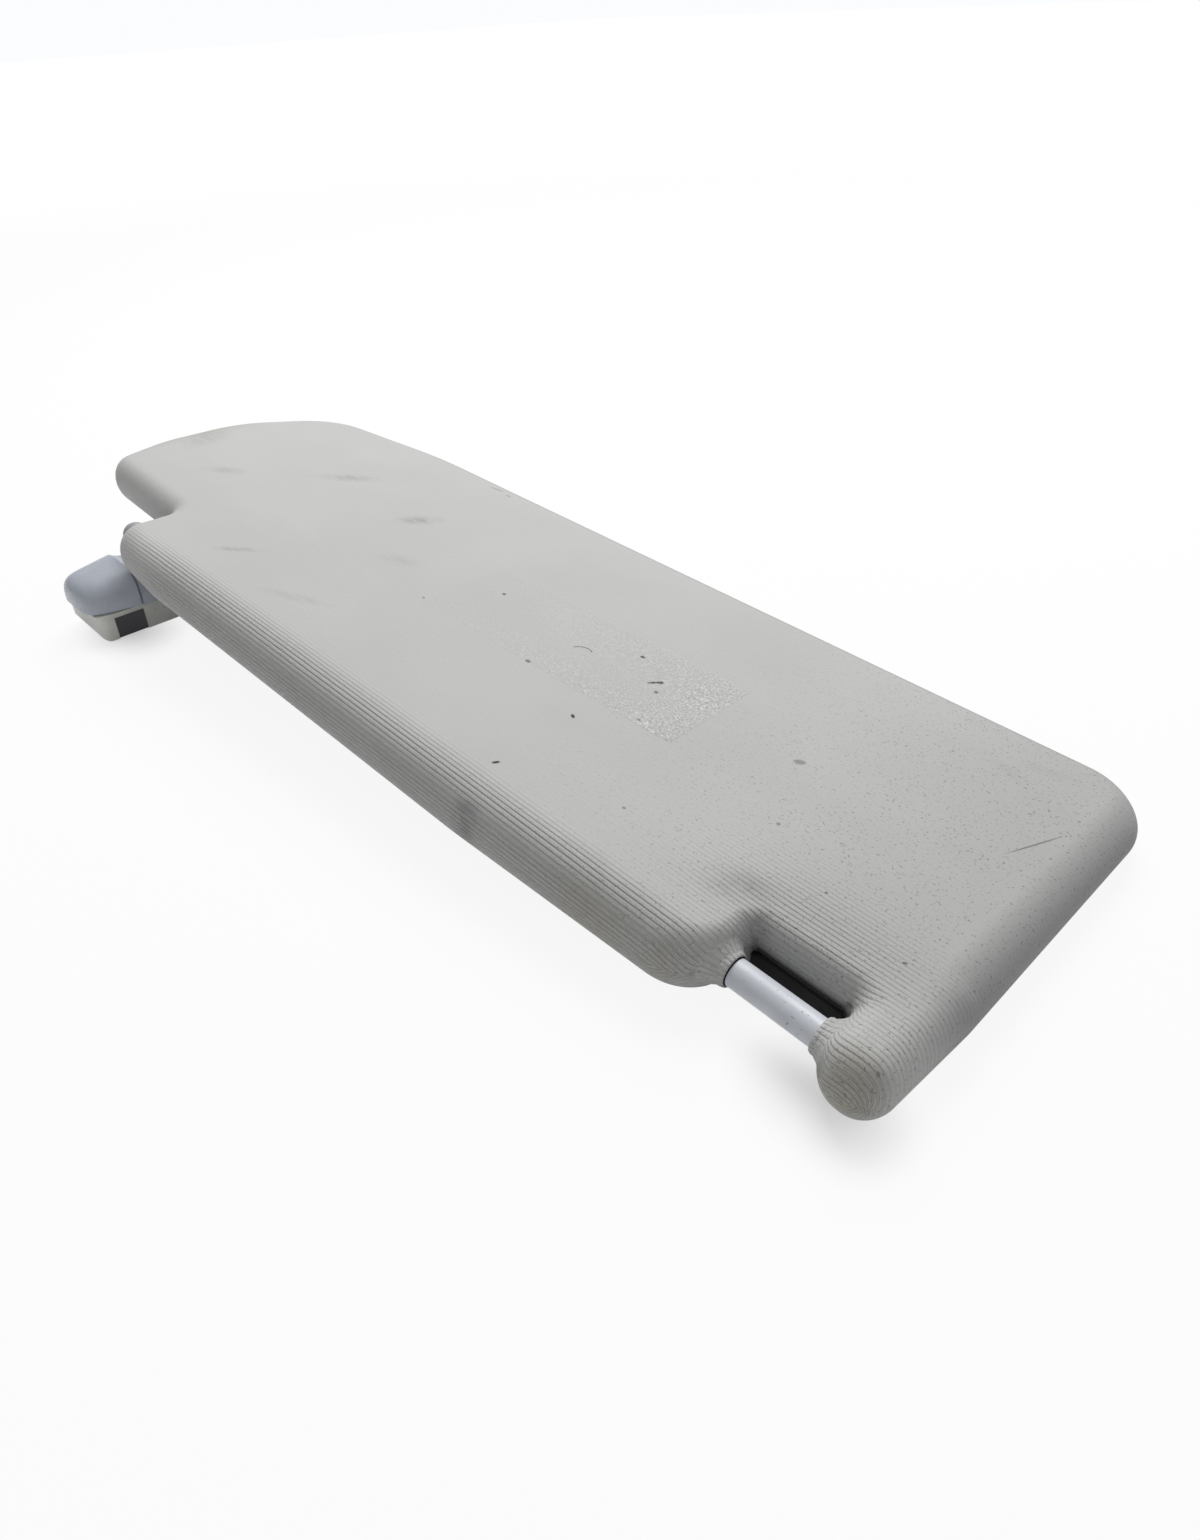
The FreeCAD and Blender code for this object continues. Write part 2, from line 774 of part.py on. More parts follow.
def bearing_tower():
    """The housing round the swivel, with the flange that the screws clamp."""
    seam = -value("cap_seam")
    rear = value("cap_width / 2")
    bottom = value("base_height")
    spring = value("base_height + cap_wall * 2")
    section = arch_ring(seam, rear, bottom, spring, value("cap_height"))
    arch = Part.Face(Part.makePolygon(section + section[:1])).extrude(V(0, rear - seam, 0))
    plan = Part.makeBox(2 * rear, -seam, value("cap_height"), V(-rear, seam, 0))
    plan = plan.fuse(Part.makeCylinder(rear, value("cap_height")))
    swing = Part.makeCylinder(value(AXIS + " - tower_height"), 4 * rear, V(-2 * rear, 0, value(AXIS)))
    swing.rotate(V(-2 * rear, 0, value(AXIS)), V(0, 1, 0), 90)
    above = Part.makeBox(4 * rear, 2 * rear, 2 * rear, V(-2 * rear, 0, value("tower_height")))
    tower = shaped("tower_form", arch.common(plan).cut(swing).cut(above))
    margin = "(2 * cap_wall + seam_gap)"
    start = "-(cap_seam + cap_length - " + margin + ")"
    corner = ("-(nose_width / 2 - " + margin + ")", start, "base_height")
    size = ("nose_width - 2 * " + margin, "cap_length - " + margin + " + cap_wall", "flange_thickness")
    flange = block_piece("tower_flange", corner, size)
    pads = screw_tools("tower_pad", "screw_boss / 2", "base_height", "flange_thickness")
    whole = joined("tower_whole", tower, flange, *pads)
    bore = rod_piece("tower_bore", BUSH, "tower_height", ("0", "0", "0"))
    seat = rod_piece("tower_seat", SHEATH + " + lobe_clearance", "base_height", ("0", "0", "tower_height"))
    holes = screw_tools("tower_hole", "screw_hole / 2", "base_height", "flange_thickness")
    return part(cut("bearing_tower", whole, bore, seat, *holes))


# Cloth cover and foam core


def core_form():
    return visor_form(value("cover_wall"), INNER_LEVELS)


def lobe_hole(length):
    return Part.makeCylinder(value(LOBE_HOLE), length, V(0, 0, value(AXIS)), V(1, 0, 0))


def bar_round(radius, start, end):
    return Part.makeCylinder(radius, end - start, V(start, 0, value(AXIS)), V(1, 0, 0))


def cover():
    """The cloth skin with its two necks round the bar."""
    form = visor_form(0, OUTER_LEVELS)
    neck = value(BAR + " + neck_wall")
    left = value(SLOT_START)
    right = value(SLOT_END)
    reach = value("neck_length")
    root = value("slot_roll")
    necks = [bar_round(neck, left - root, left + reach), bar_round(neck, right - reach, right + root)]
    form = form.fuse(necks)
    form = form.cut(core_form())
    form = form.cut(bar_round(value(BAR), left - root, right + root))
    start = value(GROMMET_START)
    rim = bar_round(value(GROMMET), start, start + value("grommet_length"))
    return part(shaped("cover", form.cut([lobe_hole(value(LOBE_END + " + lobe_roll")), rim])))


def foam_core(name, lower, pieces):
    """One foam half, hollowed for all that lies in it."""
    form = core_form()
    box = form.BoundBox
    middle = value(AXIS)
    start = box.ZMin - 1 if lower else middle
    slab = Part.makeBox(box.XLength + 2, box.YLength + 2, box.ZLength, V(box.XMin - 1, box.YMin - 1, start))
    if lower:
        slab.translate(V(0, 0, middle - start - box.ZLength))
    half = form.common(slab)
    half = half.cut(lobe_hole(value("block_start")))
    room = value("end_clip_width / 2 + fit_gap")
    half = half.cut(bar_round(room, value("block_start"), value("rod_length + fit_gap")))
    block = Part.makeBox(
        value(BLOCK_LENGTH),
        value("block_front + block_back"),
        value("block_height"),
        V(value("block_start"), -value("block_front"), middle - value(BLOCK_HALF)),
    )
    half = half.cut([block] + [piece.Shape for piece in pieces])
    return part(shaped(name, half))


# Assembly

bar = clip_bar()
wire = wire_frame()
carrier = bar_carrier(bar, wire)
detent_spring()
rivets = block_rivets()
hinge_block("hinge_block_lower", True, wire, rivets)
hinge_block("hinge_block_upper", False, wire, rivets)
pivot_arm()
retainer("retaining_ring", ("0", "0", RING_FLOOR), UPRIGHT, "ring_width")
retainer("arm_end_clip", ("rod_length - end_clip_inset", "0", AXIS), ALONG_X, "end_clip_width")
elbow_sheath()
ring("swivel_bush", BORE, BUSH, "bush_foot", "tower_height")
ring("swivel_washer", BORE, SHEATH, "tower_height", "tower_height + washer_thickness")
ring("swivel_spring", BORE, "ring_width / 2", RING_FLOOR + " + ring_thickness", "bush_foot")
grommet = lobe_grommet()
mount_base()
roof_clip()
screw_cover_cap()
bearing_tower()
doc.recompute()
cover()
inside = [bar, wire, carrier, rivets, grommet]
foam_core("core_lower", True, inside)
foam_core("core_upper", False, inside)
doc.recompute()

# Check and export

for thing in doc.Objects:
    if "Invalid" in thing.State or "Error" in thing.State:
        raise SystemExit("failed: %s %s" % (thing.Name, thing.State))
for thing in PARTS:
    shape = thing.Shape
    if shape.isNull() or not shape.isValid() or shape.Volume <= 0:
        raise SystemExit("bad shape: " + thing.Name)
os.makedirs("parts", exist_ok=True)
for thing in PARTS:
    thing.Label = thing.Name
    thing.Shape.exportStep("parts/%s.step" % thing.Label)
    print(thing.Label, len(thing.Shape.Solids), round(thing.Shape.Volume), "mm3")
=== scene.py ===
"""Looks of a cloth covered car sun visor on its swivel mount, in metres.

X runs along the hinge rod, Y from the hinge edge to the far edge, Z away from
the roof. Sizes are written in millimetres and turned to metres by MM.
"""
import json
import math

import bpy
import numpy as np
from mathutils import Matrix


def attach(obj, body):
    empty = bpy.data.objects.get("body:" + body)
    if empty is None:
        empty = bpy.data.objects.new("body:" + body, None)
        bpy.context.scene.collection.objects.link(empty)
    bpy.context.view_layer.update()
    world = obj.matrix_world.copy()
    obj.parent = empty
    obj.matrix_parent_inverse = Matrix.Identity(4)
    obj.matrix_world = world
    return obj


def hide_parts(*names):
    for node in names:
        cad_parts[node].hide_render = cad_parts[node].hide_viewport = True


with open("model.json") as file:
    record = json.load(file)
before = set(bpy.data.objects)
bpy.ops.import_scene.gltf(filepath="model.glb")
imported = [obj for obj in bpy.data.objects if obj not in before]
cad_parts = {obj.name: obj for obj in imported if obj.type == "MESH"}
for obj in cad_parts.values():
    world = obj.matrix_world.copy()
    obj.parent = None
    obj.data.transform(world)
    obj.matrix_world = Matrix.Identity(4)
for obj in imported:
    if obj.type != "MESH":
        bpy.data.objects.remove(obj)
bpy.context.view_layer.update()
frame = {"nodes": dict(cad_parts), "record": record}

MM = 0.001
AXIS = 35.0

# Visor outline

REACH = 391.7
OVERHANG = 74.5
HINGE = -17.0
FAR = 145.6
FAR_FALL = 1.0
HALF_NEAR = 12.0
HALF_FAR = 7.6
TIP = 5.6
LOBE_SIDE = -13.5
LOBE_TAPER = 38.0
RECESS = 15.0
SLOT_START = 336.5
SLOT_END = 369.0
SLOT_DEPTH = 10.5
SLOT_RISE = 3.1
SLOT_EASE = 96.5
SLOT_ROLL = 6.0
KNOB_SIDE = -11.7
KNOB_WIDTH = 20.5
SIDE_ROLL = 9.0
HINGE_ROLL = 10.4
BAR_RADIUS = 4.25
NECK = BAR_RADIUS + 0.95

# Places of four corners in the outline

SHOULDER, SLOT_LEFT, SLOT_RIGHT, KNOB_LEFT = 3, 4, 5, 6

# Cloth

RIB_PITCH = 1.55
STRAND_PITCH = 1.5
WEAVE_UNIT = 100.0

# Mount

SEAM = -12.4
CAP_FOOT = 12.5
CAP_RISE = 15.0
CAP_HALF = 17.5
CAP_LENGTH = 22.9
HOUSING_REACH = 17.45
HOUSING_TOP = 20.5
LOBE_SWEEP = 14.5


# Camera


def photo_camera():
    """A camera at the photograph's place, its three axes fitted to the picture."""
    data = bpy.data.cameras.new("photo_camera")
    data.lens = 23.84
    data.sensor_width = 36.0
    data.sensor_fit = "AUTO"
    data.clip_start = 0.01
    data.clip_end = 100.0
    camera = bpy.data.objects.new("photo_camera", data)
    bpy.context.scene.collection.objects.link(camera)
    right = (0.7035, 0.7105, 0.0187)
    upward = (-0.4588, 0.4339, 0.7754)
    back = (0.5428, -0.5541, 0.6312)
    place = (434.4 * MM, -148.9 * MM, 242.2 * MM)
    rows = [[right[k], upward[k], back[k], place[k]] for k in range(3)]
    camera.matrix_world = Matrix(rows + [[0.0, 0.0, 0.0, 1.0]])
    bpy.context.scene.camera = camera


photo_camera()


# Meshes


def piece(name, points, quads, material, smooth=True, loops=None):
    """An object from points in millimetres and faces given as rows of indices."""
    mesh = bpy.data.meshes.new(name)
    mesh.from_pydata((np.asarray(points, float) * MM).tolist(), [], np.asarray(quads).tolist())
    mesh.polygons.foreach_set("use_smooth", [smooth] * len(mesh.polygons))
    if loops is not None:
        layer = mesh.uv_layers.new(name="weave")
        corner = np.zeros(len(mesh.loops), np.int32)
        mesh.loops.foreach_get("vertex_index", corner)
        layer.data.foreach_set("uv", loops[corner].astype(np.float32).ravel())
    mesh.materials.append(material)
    mesh.validate()
    mesh.update()
    made = bpy.data.objects.new(name, mesh)
    bpy.context.scene.collection.objects.link(made)
    return made


def grid_quads(rows, columns, wrap):
    """Faces of a grid of points, its columns joined round when wrap is set."""
    down = np.arange(rows - 1)[:, None]
    last = columns if wrap else columns - 1
    across = np.arange(last)[None, :]
    beside = (across + 1) % columns
    upper, lower = down * columns, (down + 1) * columns
    quads = np.stack([upper + across, upper + beside, lower + beside, lower + across], axis=-1)
    return quads.reshape(-1, 4)


def capped(rings):
    """Points and faces of a closed tube through rings of equal count: the grid
    between the rings, and a fan from the middle of each end ring."""
    rings = np.asarray(rings, float)
    count, around = rings.shape[:2]
    points = np.concatenate([rings.reshape(-1, 3), rings[:1].mean(1), rings[-1:].mean(1)])
    step = np.arange(around)
    after = (step + 1) % around
    middle = np.full(around, count * around)
    last_ring = (count - 1) * around
    faces = grid_quads(count, around, True).tolist()
    faces += np.stack([middle, after, step], 1).tolist()
    faces += np.stack([middle + 1, last_ring + step, last_ring + after], 1).tolist()
    return points, faces


def tube_piece(name, rings, material):
    """A closed smooth piece through rings of points, its faces made to look out."""
    points, faces = capped(rings)
    mesh = bpy.data.meshes.new(name)
    mesh.from_pydata((points * MM).tolist(), [], faces)
    mesh.polygons.foreach_set("use_smooth", [True] * len(mesh.polygons))
    mesh.materials.append(material)
    outward(mesh)
    made = bpy.data.objects.new(name, mesh)
    bpy.context.scene.collection.objects.link(made)
    return made


def outward(mesh):
    """Turns the faces of a closed mesh so that its signed volume is positive."""
    mesh.calc_loop_triangles()
    corners = np.zeros(len(mesh.loop_triangles) * 3, np.int32)
    mesh.loop_triangles.foreach_get("vertices", corners)
    place = np.zeros(len(mesh.vertices) * 3, np.float32)
    mesh.vertices.foreach_get("co", place)
    first, second, third = place.reshape(-1, 3)[corners].reshape(-1, 3, 3).transpose(1, 0, 2)
    if (np.cross(first, second) * third).sum() < 0:
        mesh.flip_normals()
    mesh.update()


# Visor outline as straight sides and round corners


def visor_corners():
    """Corner place, corner radius and the roll of the side that leaves it."""
    knob_end = SLOT_END + KNOB_WIDTH
    knob_round = KNOB_WIDTH / 2 - 0.3
    return [
        (TIP, LOBE_SIDE, 13.0, HINGE_ROLL),
        (TIP + LOBE_TAPER, HINGE, 80.0, HINGE_ROLL),
        (SLOT_START - SLOT_EASE, HINGE, 80.0, HINGE_ROLL),
        (SLOT_START, HINGE + SLOT_RISE, 17.5, SLOT_ROLL),
        (SLOT_START, SLOT_DEPTH, 3.0, SLOT_ROLL),
        (SLOT_END, SLOT_DEPTH, 3.0, SIDE_ROLL),
        (SLOT_END, KNOB_SIDE, knob_round, SIDE_ROLL),
        (knob_end, KNOB_SIDE, knob_round, SIDE_ROLL),
        (REACH, 30.0, 80.0, 12.0),
        (REACH, FAR - FAR_FALL, 24.0, HALF_FAR),
        (32.5, FAR, 270.0, HALF_FAR),
        (-47.5, FAR - 10.2, 45.0, SIDE_ROLL),
        (-OVERHANG, 91.55, 58.5, SIDE_ROLL),
        (-OVERHANG, 48.8, 58.5, SIDE_ROLL),
        (9.0 - OVERHANG, RECESS + 2.6, 13.0, SIDE_ROLL),
        (TIP, RECESS, 5.0, 11.0),
    ]


def outline_parts():
    """Each corner's arc: centre, radius, side, first and last point, and rolls."""
    corners = np.array(visor_corners())
    place, radius, roll = corners[:, :2], corners[:, 2], corners[:, 3]
    run = np.roll(place, -1, 0) - place
    run /= np.linalg.norm(run, axis=1)[:, None]
    before = np.roll(run, 1, 0)
    cross = before[:, 0] * run[:, 1] - before[:, 1] * run[:, 0]
    turn = np.arctan2(cross, (before * run).sum(1))
    tangent = (radius * np.tan(np.abs(turn) / 2))[:, None]
    first = place - before * tangent
    last = place + run * tangent
    side = np.sign(turn)
    centre = first + np.stack([-before[:, 1], before[:, 0]], 1) * (side * radius)[:, None]
    return centre, radius, side, first, last, turn, np.roll(roll, 1), roll


PARTS = outline_parts()


def outline_line(step=0.02):
    """The outline as a dense closed line, and each corner arc's middle on it."""
    centre, radius, _, first, _, turn, _, _ = PARTS
    line = []
    middles = []
    for index in range(len(radius)):
        count = max(3, int(abs(turn[index]) / step) | 1)
        swing = np.linspace(0.0, turn[index], count)
        arm = first[index] - centre[index]
        cosine, sine = np.cos(swing), np.sin(swing)
        arc = np.stack([arm[0] * cosine - arm[1] * sine, arm[0] * sine + arm[1] * cosine], 1) + centre[index]
        middles.append(sum(len(one) for one in line) + count // 2)
        line.append(arc)
    return np.concatenate(line), middles


def rim_distance(across, along):
    """Distance in from the outline, and the roll of the nearest part of it: the
    least over all straight sides and all corner arcs."""
    centre, radius, side, first, last, turn, roll_before, roll = PARTS
    least = np.full(across.shape, 1e9)
    near_roll = np.zeros(across.shape)
    for index in range(len(radius)):
        start, end = last[index], first[(index + 1) % len(radius)]
        run = end - start
        share = ((across - start[0]) * run[0] + (along - start[1]) * run[1]) / (run @ run)
        share = np.clip(share, 0, 1)
        away = np.hypot(across - start[0] - share * run[0], along - start[1] - share * run[1])
        near_roll = np.where(away < least, roll[index], near_roll)
        least = np.minimum(least, away)
        arm = first[index] - centre[index]
        out_x, out_y = across - centre[index][0], along - centre[index][1]
        swing = np.arctan2(arm[0] * out_y - arm[1] * out_x, arm[0] * out_x + arm[1] * out_y) * side[index]
        inside = (swing >= 0) & (swing <= abs(turn[index]))
        away = np.where(inside, np.abs(np.hypot(out_x, out_y) - radius[index]), 1e9)
        share = np.clip(swing / abs(turn[index]), 0, 1)
        share = share * share * (3 - 2 * share)
        mixed = roll_before[index] + (roll[index] - roll_before[index]) * share
        near_roll = np.where(away < least, mixed, near_roll)
        least = np.minimum(least, away)
    return least, near_roll


# Visor cover


def spaced(start, end, count):
    """Places from start to end, close together at both ends as a cosine is."""
    return start + (end - start) * (1 - np.cos(np.linspace(0, np.pi, count + 1))) / 2


def coons(low, high, left, right):
    """A patch between four edge lines: the two ruled surfaces added, less the
    bilinear surface of the four corners."""
    across = ((low[:, 0] - low[0, 0]) / (low[-1, 0] - low[0, 0]))[:, None, None]
    along = ((left[:, 1] - left[0, 1]) / (left[-1, 1] - left[0, 1]))[None, :, None]
    ruled = (1 - along) * low[:, None] + along * high[:, None]
    ruled = ruled + (1 - across) * left[None] + across * right[None]
    corners = (1 - across) * (1 - along) * low[0] + across * (1 - along) * low[-1]
    corners = corners + (1 - across) * along * high[0] + across * along * high[-1]
    return ruled - corners


def stretch(line, start, end):
    """The part of the closed outline from one index on to another."""
    if end > start:
        return line[start:end + 1]
    return np.concatenate([line[start:], line[:end + 1]])


def by_x(part, places):
    """Points of a line at the given places across."""
    order = np.argsort(part[:, 0])
    return np.stack([places, np.interp(places, part[order, 0], part[order, 1])], 1)


def by_y(part, places):
    """Points of a line at the given places along."""
    order = np.argsort(part[:, 1])
    return np.stack([np.interp(places, part[order, 1], part[order, 0]), places], 1)


COLUMNS = (44, 190, 40, 28)
BAND_ROWS = 52
MAIN_ROWS = 64


def cover_plan():
    """The cover's grid seen square on: one patch for the panel and one each for
    the hinge band and the knob, which share the panel's lower line."""
    line, mid = outline_line()
    lobe, _, _, shoulder, slot_left, slot_right, knob_left, knob_right = mid[:8]
    _, far_right, _, far_left, _, _, wing, tip = mid[8:]
    ends = [line[wing][0], line[tip][0], line[slot_left][0], line[slot_right][0], REACH]
    spans = [spaced(ends[k], ends[k + 1], COLUMNS[k]) for k in range(4)]
    low_x = np.concatenate([spans[0]] + [one[1:] for one in spans[1:]])
    marks = np.cumsum((0,) + COLUMNS)
    bottom = np.stack([low_x, np.zeros_like(low_x)], 1)
    recess = by_x(stretch(line, wing, tip)[::-1], low_x[: marks[1] + 1])
    bottom[: marks[1] + 1] = recess
    slot = by_x(stretch(line, slot_left, slot_right), low_x[marks[2]: marks[3] + 1])
    bottom[marks[2]: marks[3] + 1] = slot
    inner = slice(marks[1], marks[2] + 1)
    ease = (low_x[inner] - low_x[marks[1]]) / (low_x[marks[2]] - low_x[marks[1]])
    bottom[inner, 1] = bottom[marks[1], 1] * (1 - ease) + bottom[marks[2], 1] * ease
    bottom[marks[3]:, 1] = bottom[marks[3], 1]
    lean = (line[far_left][0] - low_x[0]) * np.clip(1 - (low_x - low_x[0]) / 90.0, 0, 1) ** 2
    lean_right = (line[far_right][0] - REACH) * np.clip(1 - (REACH - low_x) / 30.0, 0, 1) ** 2
    top = by_x(stretch(line, far_right, far_left), low_x + lean + lean_right)
    left_y = spaced(bottom[0, 1], top[0, 1], MAIN_ROWS)
    right_y = spaced(bottom[-1, 1], top[-1, 1], MAIN_ROWS)
    left = by_y(stretch(line, far_left, wing), left_y)
    right = by_y(stretch(line, knob_right, far_right), right_y)
    panel = coons(bottom, top, left, right)
    plan = np.zeros((len(low_x), BAND_ROWS + MAIN_ROWS + 1, 2))
    plan[:, BAND_ROWS:] = panel
    for first, last, left_side, start, end, right_side in (
        (marks[1], marks[2], stretch(line, tip, lobe), lobe, shoulder, stretch(line, shoulder, slot_left)),
        (marks[3], marks[4], stretch(line, slot_right, knob_left), knob_left, knob_right,
         stretch(line, knob_right, far_right)),
    ):
        upper = bottom[first: last + 1]
        share = (upper[:, 0] - upper[0, 0]) / (upper[-1, 0] - upper[0, 0])
        places = line[start][0] + (line[end][0] - line[start][0]) * share
        lower = by_x(stretch(line, start, end), places)
        left_edge = by_y(left_side, spaced(lower[0, 1], upper[0, 1], BAND_ROWS))
        right_edge = by_y(right_side, spaced(lower[-1, 1], upper[-1, 1], BAND_ROWS))
        plan[first: last + 1, : BAND_ROWS + 1] = coons(lower, upper, left_edge, right_edge)
    return plan, marks


def hump(across, along, place, size, turn=0.0):
    """A smooth hump: e to the minus squared distance in an ellipse's own axes."""
    cosine, sine = math.cos(math.radians(turn)), math.sin(math.radians(turn))
    out_x, out_y = across - place[0], along - place[1]
    main = (out_x * cosine + out_y * sine) / size[0]
    cross = (out_y * cosine - out_x * sine) / size[1]
    return np.exp(-(main ** 2 + cross ** 2))


def eased(value, start, end):
    """Nought at the start, one at the end: t squared times three less two t."""
    share = np.clip((value - start) / (end - start), 0, 1)
    return share * share * (3 - 2 * share)


def store(made, name, values):
    """Keeps one number for each point of a piece under a name."""
    layer = made.data.attributes.new(name, "FLOAT", "POINT")
    layer.data.foreach_set("value", np.asarray(values, np.float32))


def cover_heights(across, along):
    """Half thickness over the plan: the local half thickness times the root of
    t (2 - t), t being the distance in from the outline over the side's roll."""
    away, roll = rim_distance(across, along)
    half = HALF_NEAR - (HALF_NEAR - HALF_FAR) * (along - HINGE) / (FAR - HINGE)
    share = np.clip(away / roll, 0, 1)
    return half * np.sqrt(share * (2 - share)), share


def visor_cover(material):
    """The cloth skin: the plan's grid raised to both faces and closed along the
    outline. Two humps are taken off the height for the dent over the bar's end."""
    plan, marks = cover_plan()
    across, along = plan[..., 0], plan[..., 1]
    columns, rows = across.shape
    used = np.ones((columns, rows), bool)
    used[: marks[1], :BAND_ROWS] = False
    used[marks[2] + 1: marks[3], :BAND_ROWS] = False
    edge = np.zeros((columns, rows), bool)
    edge[0], edge[-1], edge[:, 0], edge[:, -1] = True, True, True, True
    edge[: marks[1] + 1, BAND_ROWS] = True
    edge[marks[2]: marks[3] + 1, BAND_ROWS] = True
    for mark in marks[1:4]:
        edge[mark, : BAND_ROWS + 1] = True
    height, share = cover_heights(across, along)
    height[edge] = 0.0
    level = np.clip(height, 0, None)
    dent = 0.80 * hump(across, along, (331, 12), (15, 6.5), 20)
    dent += 0.40 * hump(across, along, (352, 17), (22, 4.5), 0)
    top = level - dent * share
    bottom = level - 0.4 * dent * share
    tops = np.stack([across, along, AXIS + top], -1)
    bottoms = np.stack([across, along, AXIS - bottom], -1)
    index_top = np.cumsum(used.ravel()).reshape(used.shape) - 1
    count = int(used.sum())
    inner = used & ~edge
    index_bottom = np.where(inner, count + np.cumsum(inner.ravel()).reshape(used.shape) - 1, index_top)
    points = np.concatenate([tops[used], bottoms[inner]])
    cell = used[:-1, :-1] & used[1:, :-1] & used[1:, 1:] & used[:-1, 1:]
    cell[marks[2]: marks[3], :BAND_ROWS] = False
    cell[: marks[1], :BAND_ROWS] = False
    faces = []
    for index, turned in ((index_top, False), (index_bottom, True)):
        corners = [index[:-1, :-1], index[1:, :-1], index[1:, 1:], index[:-1, 1:]]
        quads = np.stack([one[cell] for one in (corners[::-1] if turned else corners)], 1)
        faces.append(quads)
    length = np.hypot(np.diff(along, axis=1), np.diff(top, axis=1))
    total = np.concatenate([np.zeros((columns, 1)), np.cumsum(length, axis=1)], 1)
    reference = BAND_ROWS + MAIN_ROWS // 2
    rib = along[:, reference: reference + 1] + total - total[:, reference: reference + 1]
    weave = np.stack([across, rib], -1) / WEAVE_UNIT
    loops = np.concatenate([weave[used], weave[inner]])
    made = piece("visor_cover", points, np.concatenate(faces), material, loops=loops)
    hinge = eased(along, 1.0, -9.5) * (0.12 + 0.88 * eased(across, 12.0, 62.0))
    near_slot = np.maximum(
        0.90 * hump(across, along, (350, 14), (32, 18)), 0.45 * hump(across, along, (384, 0), (22, 26))
    )
    depth = np.clip(np.maximum(np.maximum(hinge, near_slot), 0.02), 0, 1)
    below = depth * (0.18 + 0.82 * eased(height, 6.0, 0.5))
    store(made, "rib_depth", np.concatenate([depth[used], below[inner]]))
    pit = eased(along, 15.5, 14.0) * eased(across, SLOT_START - 0.5, SLOT_START + 2.5)
    pit = pit * eased(across, SLOT_END, SLOT_END - 1.5)
    pit_top, pit_bottom = pit * eased(height, 2.6, 0.6), pit * eased(height, 9.5, 8.0)
    store(made, "slot_pit", np.concatenate([pit_top[used], pit_bottom[inner]]))
    # Where the far edge's roll turns away, near the right end: kept to paint shade there.
    far = eased(share, 0.95, 0.35) * eased(along, 95.0, 130.0) * eased(across, REACH, REACH - 40.0)
    store(made, "far_edge_shade", np.concatenate([far[used], far[inner]]))
    return made


# Materials


class Shader:
    """A material's node tree, with short calls for the nodes that it is built of."""

    def __init__(self, name):
        self.material = bpy.data.materials.new(name)
        self.material.use_nodes = True
        self.tree = self.material.node_tree
        self.skin = self.tree.nodes["Principled BSDF"]

    def node(self, kind, **inputs):
        """A node, its inputs given by name, or by number as i0, i1 and so on."""
        made = self.tree.nodes.new(kind)
        for key, what in inputs.items():
            numbered = key[0] == "i" and key[1:].isdigit()
            self.put(made, int(key[1:]) if numbered else key.replace("_", " "), what)
        return made

    def put(self, made, key, what):
        """Links a socket to an input, or sets the input to a value."""
        socket = made.inputs[key]
        if isinstance(what, bpy.types.NodeSocket):
            self.tree.links.new(what, socket)
        else:
            socket.default_value = what

    def place(self):
        return self.node("ShaderNodeTexCoord").outputs["Object"]

    def mapped(self, source, move=(0, 0, 0), turn=0.0, size=(1, 1, 1)):
        """The place in a mark's own axes, one at its rim."""
        made = self.node("ShaderNodeMapping", Vector=source)
        made.vector_type = "TEXTURE"
        made.inputs["Location"].default_value = [one * MM for one in move]
        made.inputs["Rotation"].default_value = (0, 0, math.radians(turn))
        made.inputs["Scale"].default_value = [one * MM for one in size]
        return made.outputs[0]

    def sums(self, operation, first, second=0.0, third=0.0):
        made = self.node("ShaderNodeMath", i0=first, i1=second, i2=third)
        made.operation = operation
        return made.outputs[0]

    def ramp(self, source, low, high, start=0.0, end=1.0):
        """A smooth step of a value from one level to another."""
        made = self.node("ShaderNodeMapRange", Value=source)
        made.interpolation_type = "SMOOTHSTEP"
        made.inputs["From Min"].default_value = low
        made.inputs["From Max"].default_value = high
        made.inputs["To Min"].default_value = start
        made.inputs["To Max"].default_value = end
        return made.outputs[0]

    def noise(self, source, scale, detail=2.0, rough=0.5):
        made = self.node("ShaderNodeTexNoise", Vector=source, Scale=scale, Detail=detail, Roughness=rough)
        return made.outputs["Fac"]

    def mix(self, share, first, second):
        made = self.node("ShaderNodeMix")
        made.data_type = "RGBA"
        self.put(made, 0, share)
        self.put(made, 6, first)
        self.put(made, 7, second)
        return made.outputs[2]

    def spot(self, source, place, size, turn=0.0, soft=1.0):
        """A mark: one in its middle, nought at its rim, in an ellipse."""
        near = self.node("ShaderNodeVectorMath", i0=self.mapped(source, (*place, 0), turn, (*size, 1e6)))
        near.operation = "LENGTH"
        return self.ramp(near.outputs["Value"], 1.0, 1.0 - soft)

    def bump(self, height, strength, distance, under=None):
        made = self.node("ShaderNodeBump", Height=height, Strength=strength, Distance=distance)
        if under is not None:
            self.put(made, "Normal", under)
        return made.outputs[0]

    def finish(self, color, rough, normal=None, specular=0.5):
        self.put(self.skin, "Base Color", color)
        self.put(self.skin, "Roughness", rough)
        self.skin.inputs["Specular IOR Level"].default_value = specular
        if normal is not None:
            self.put(self.skin, "Normal", normal)
        return self.material


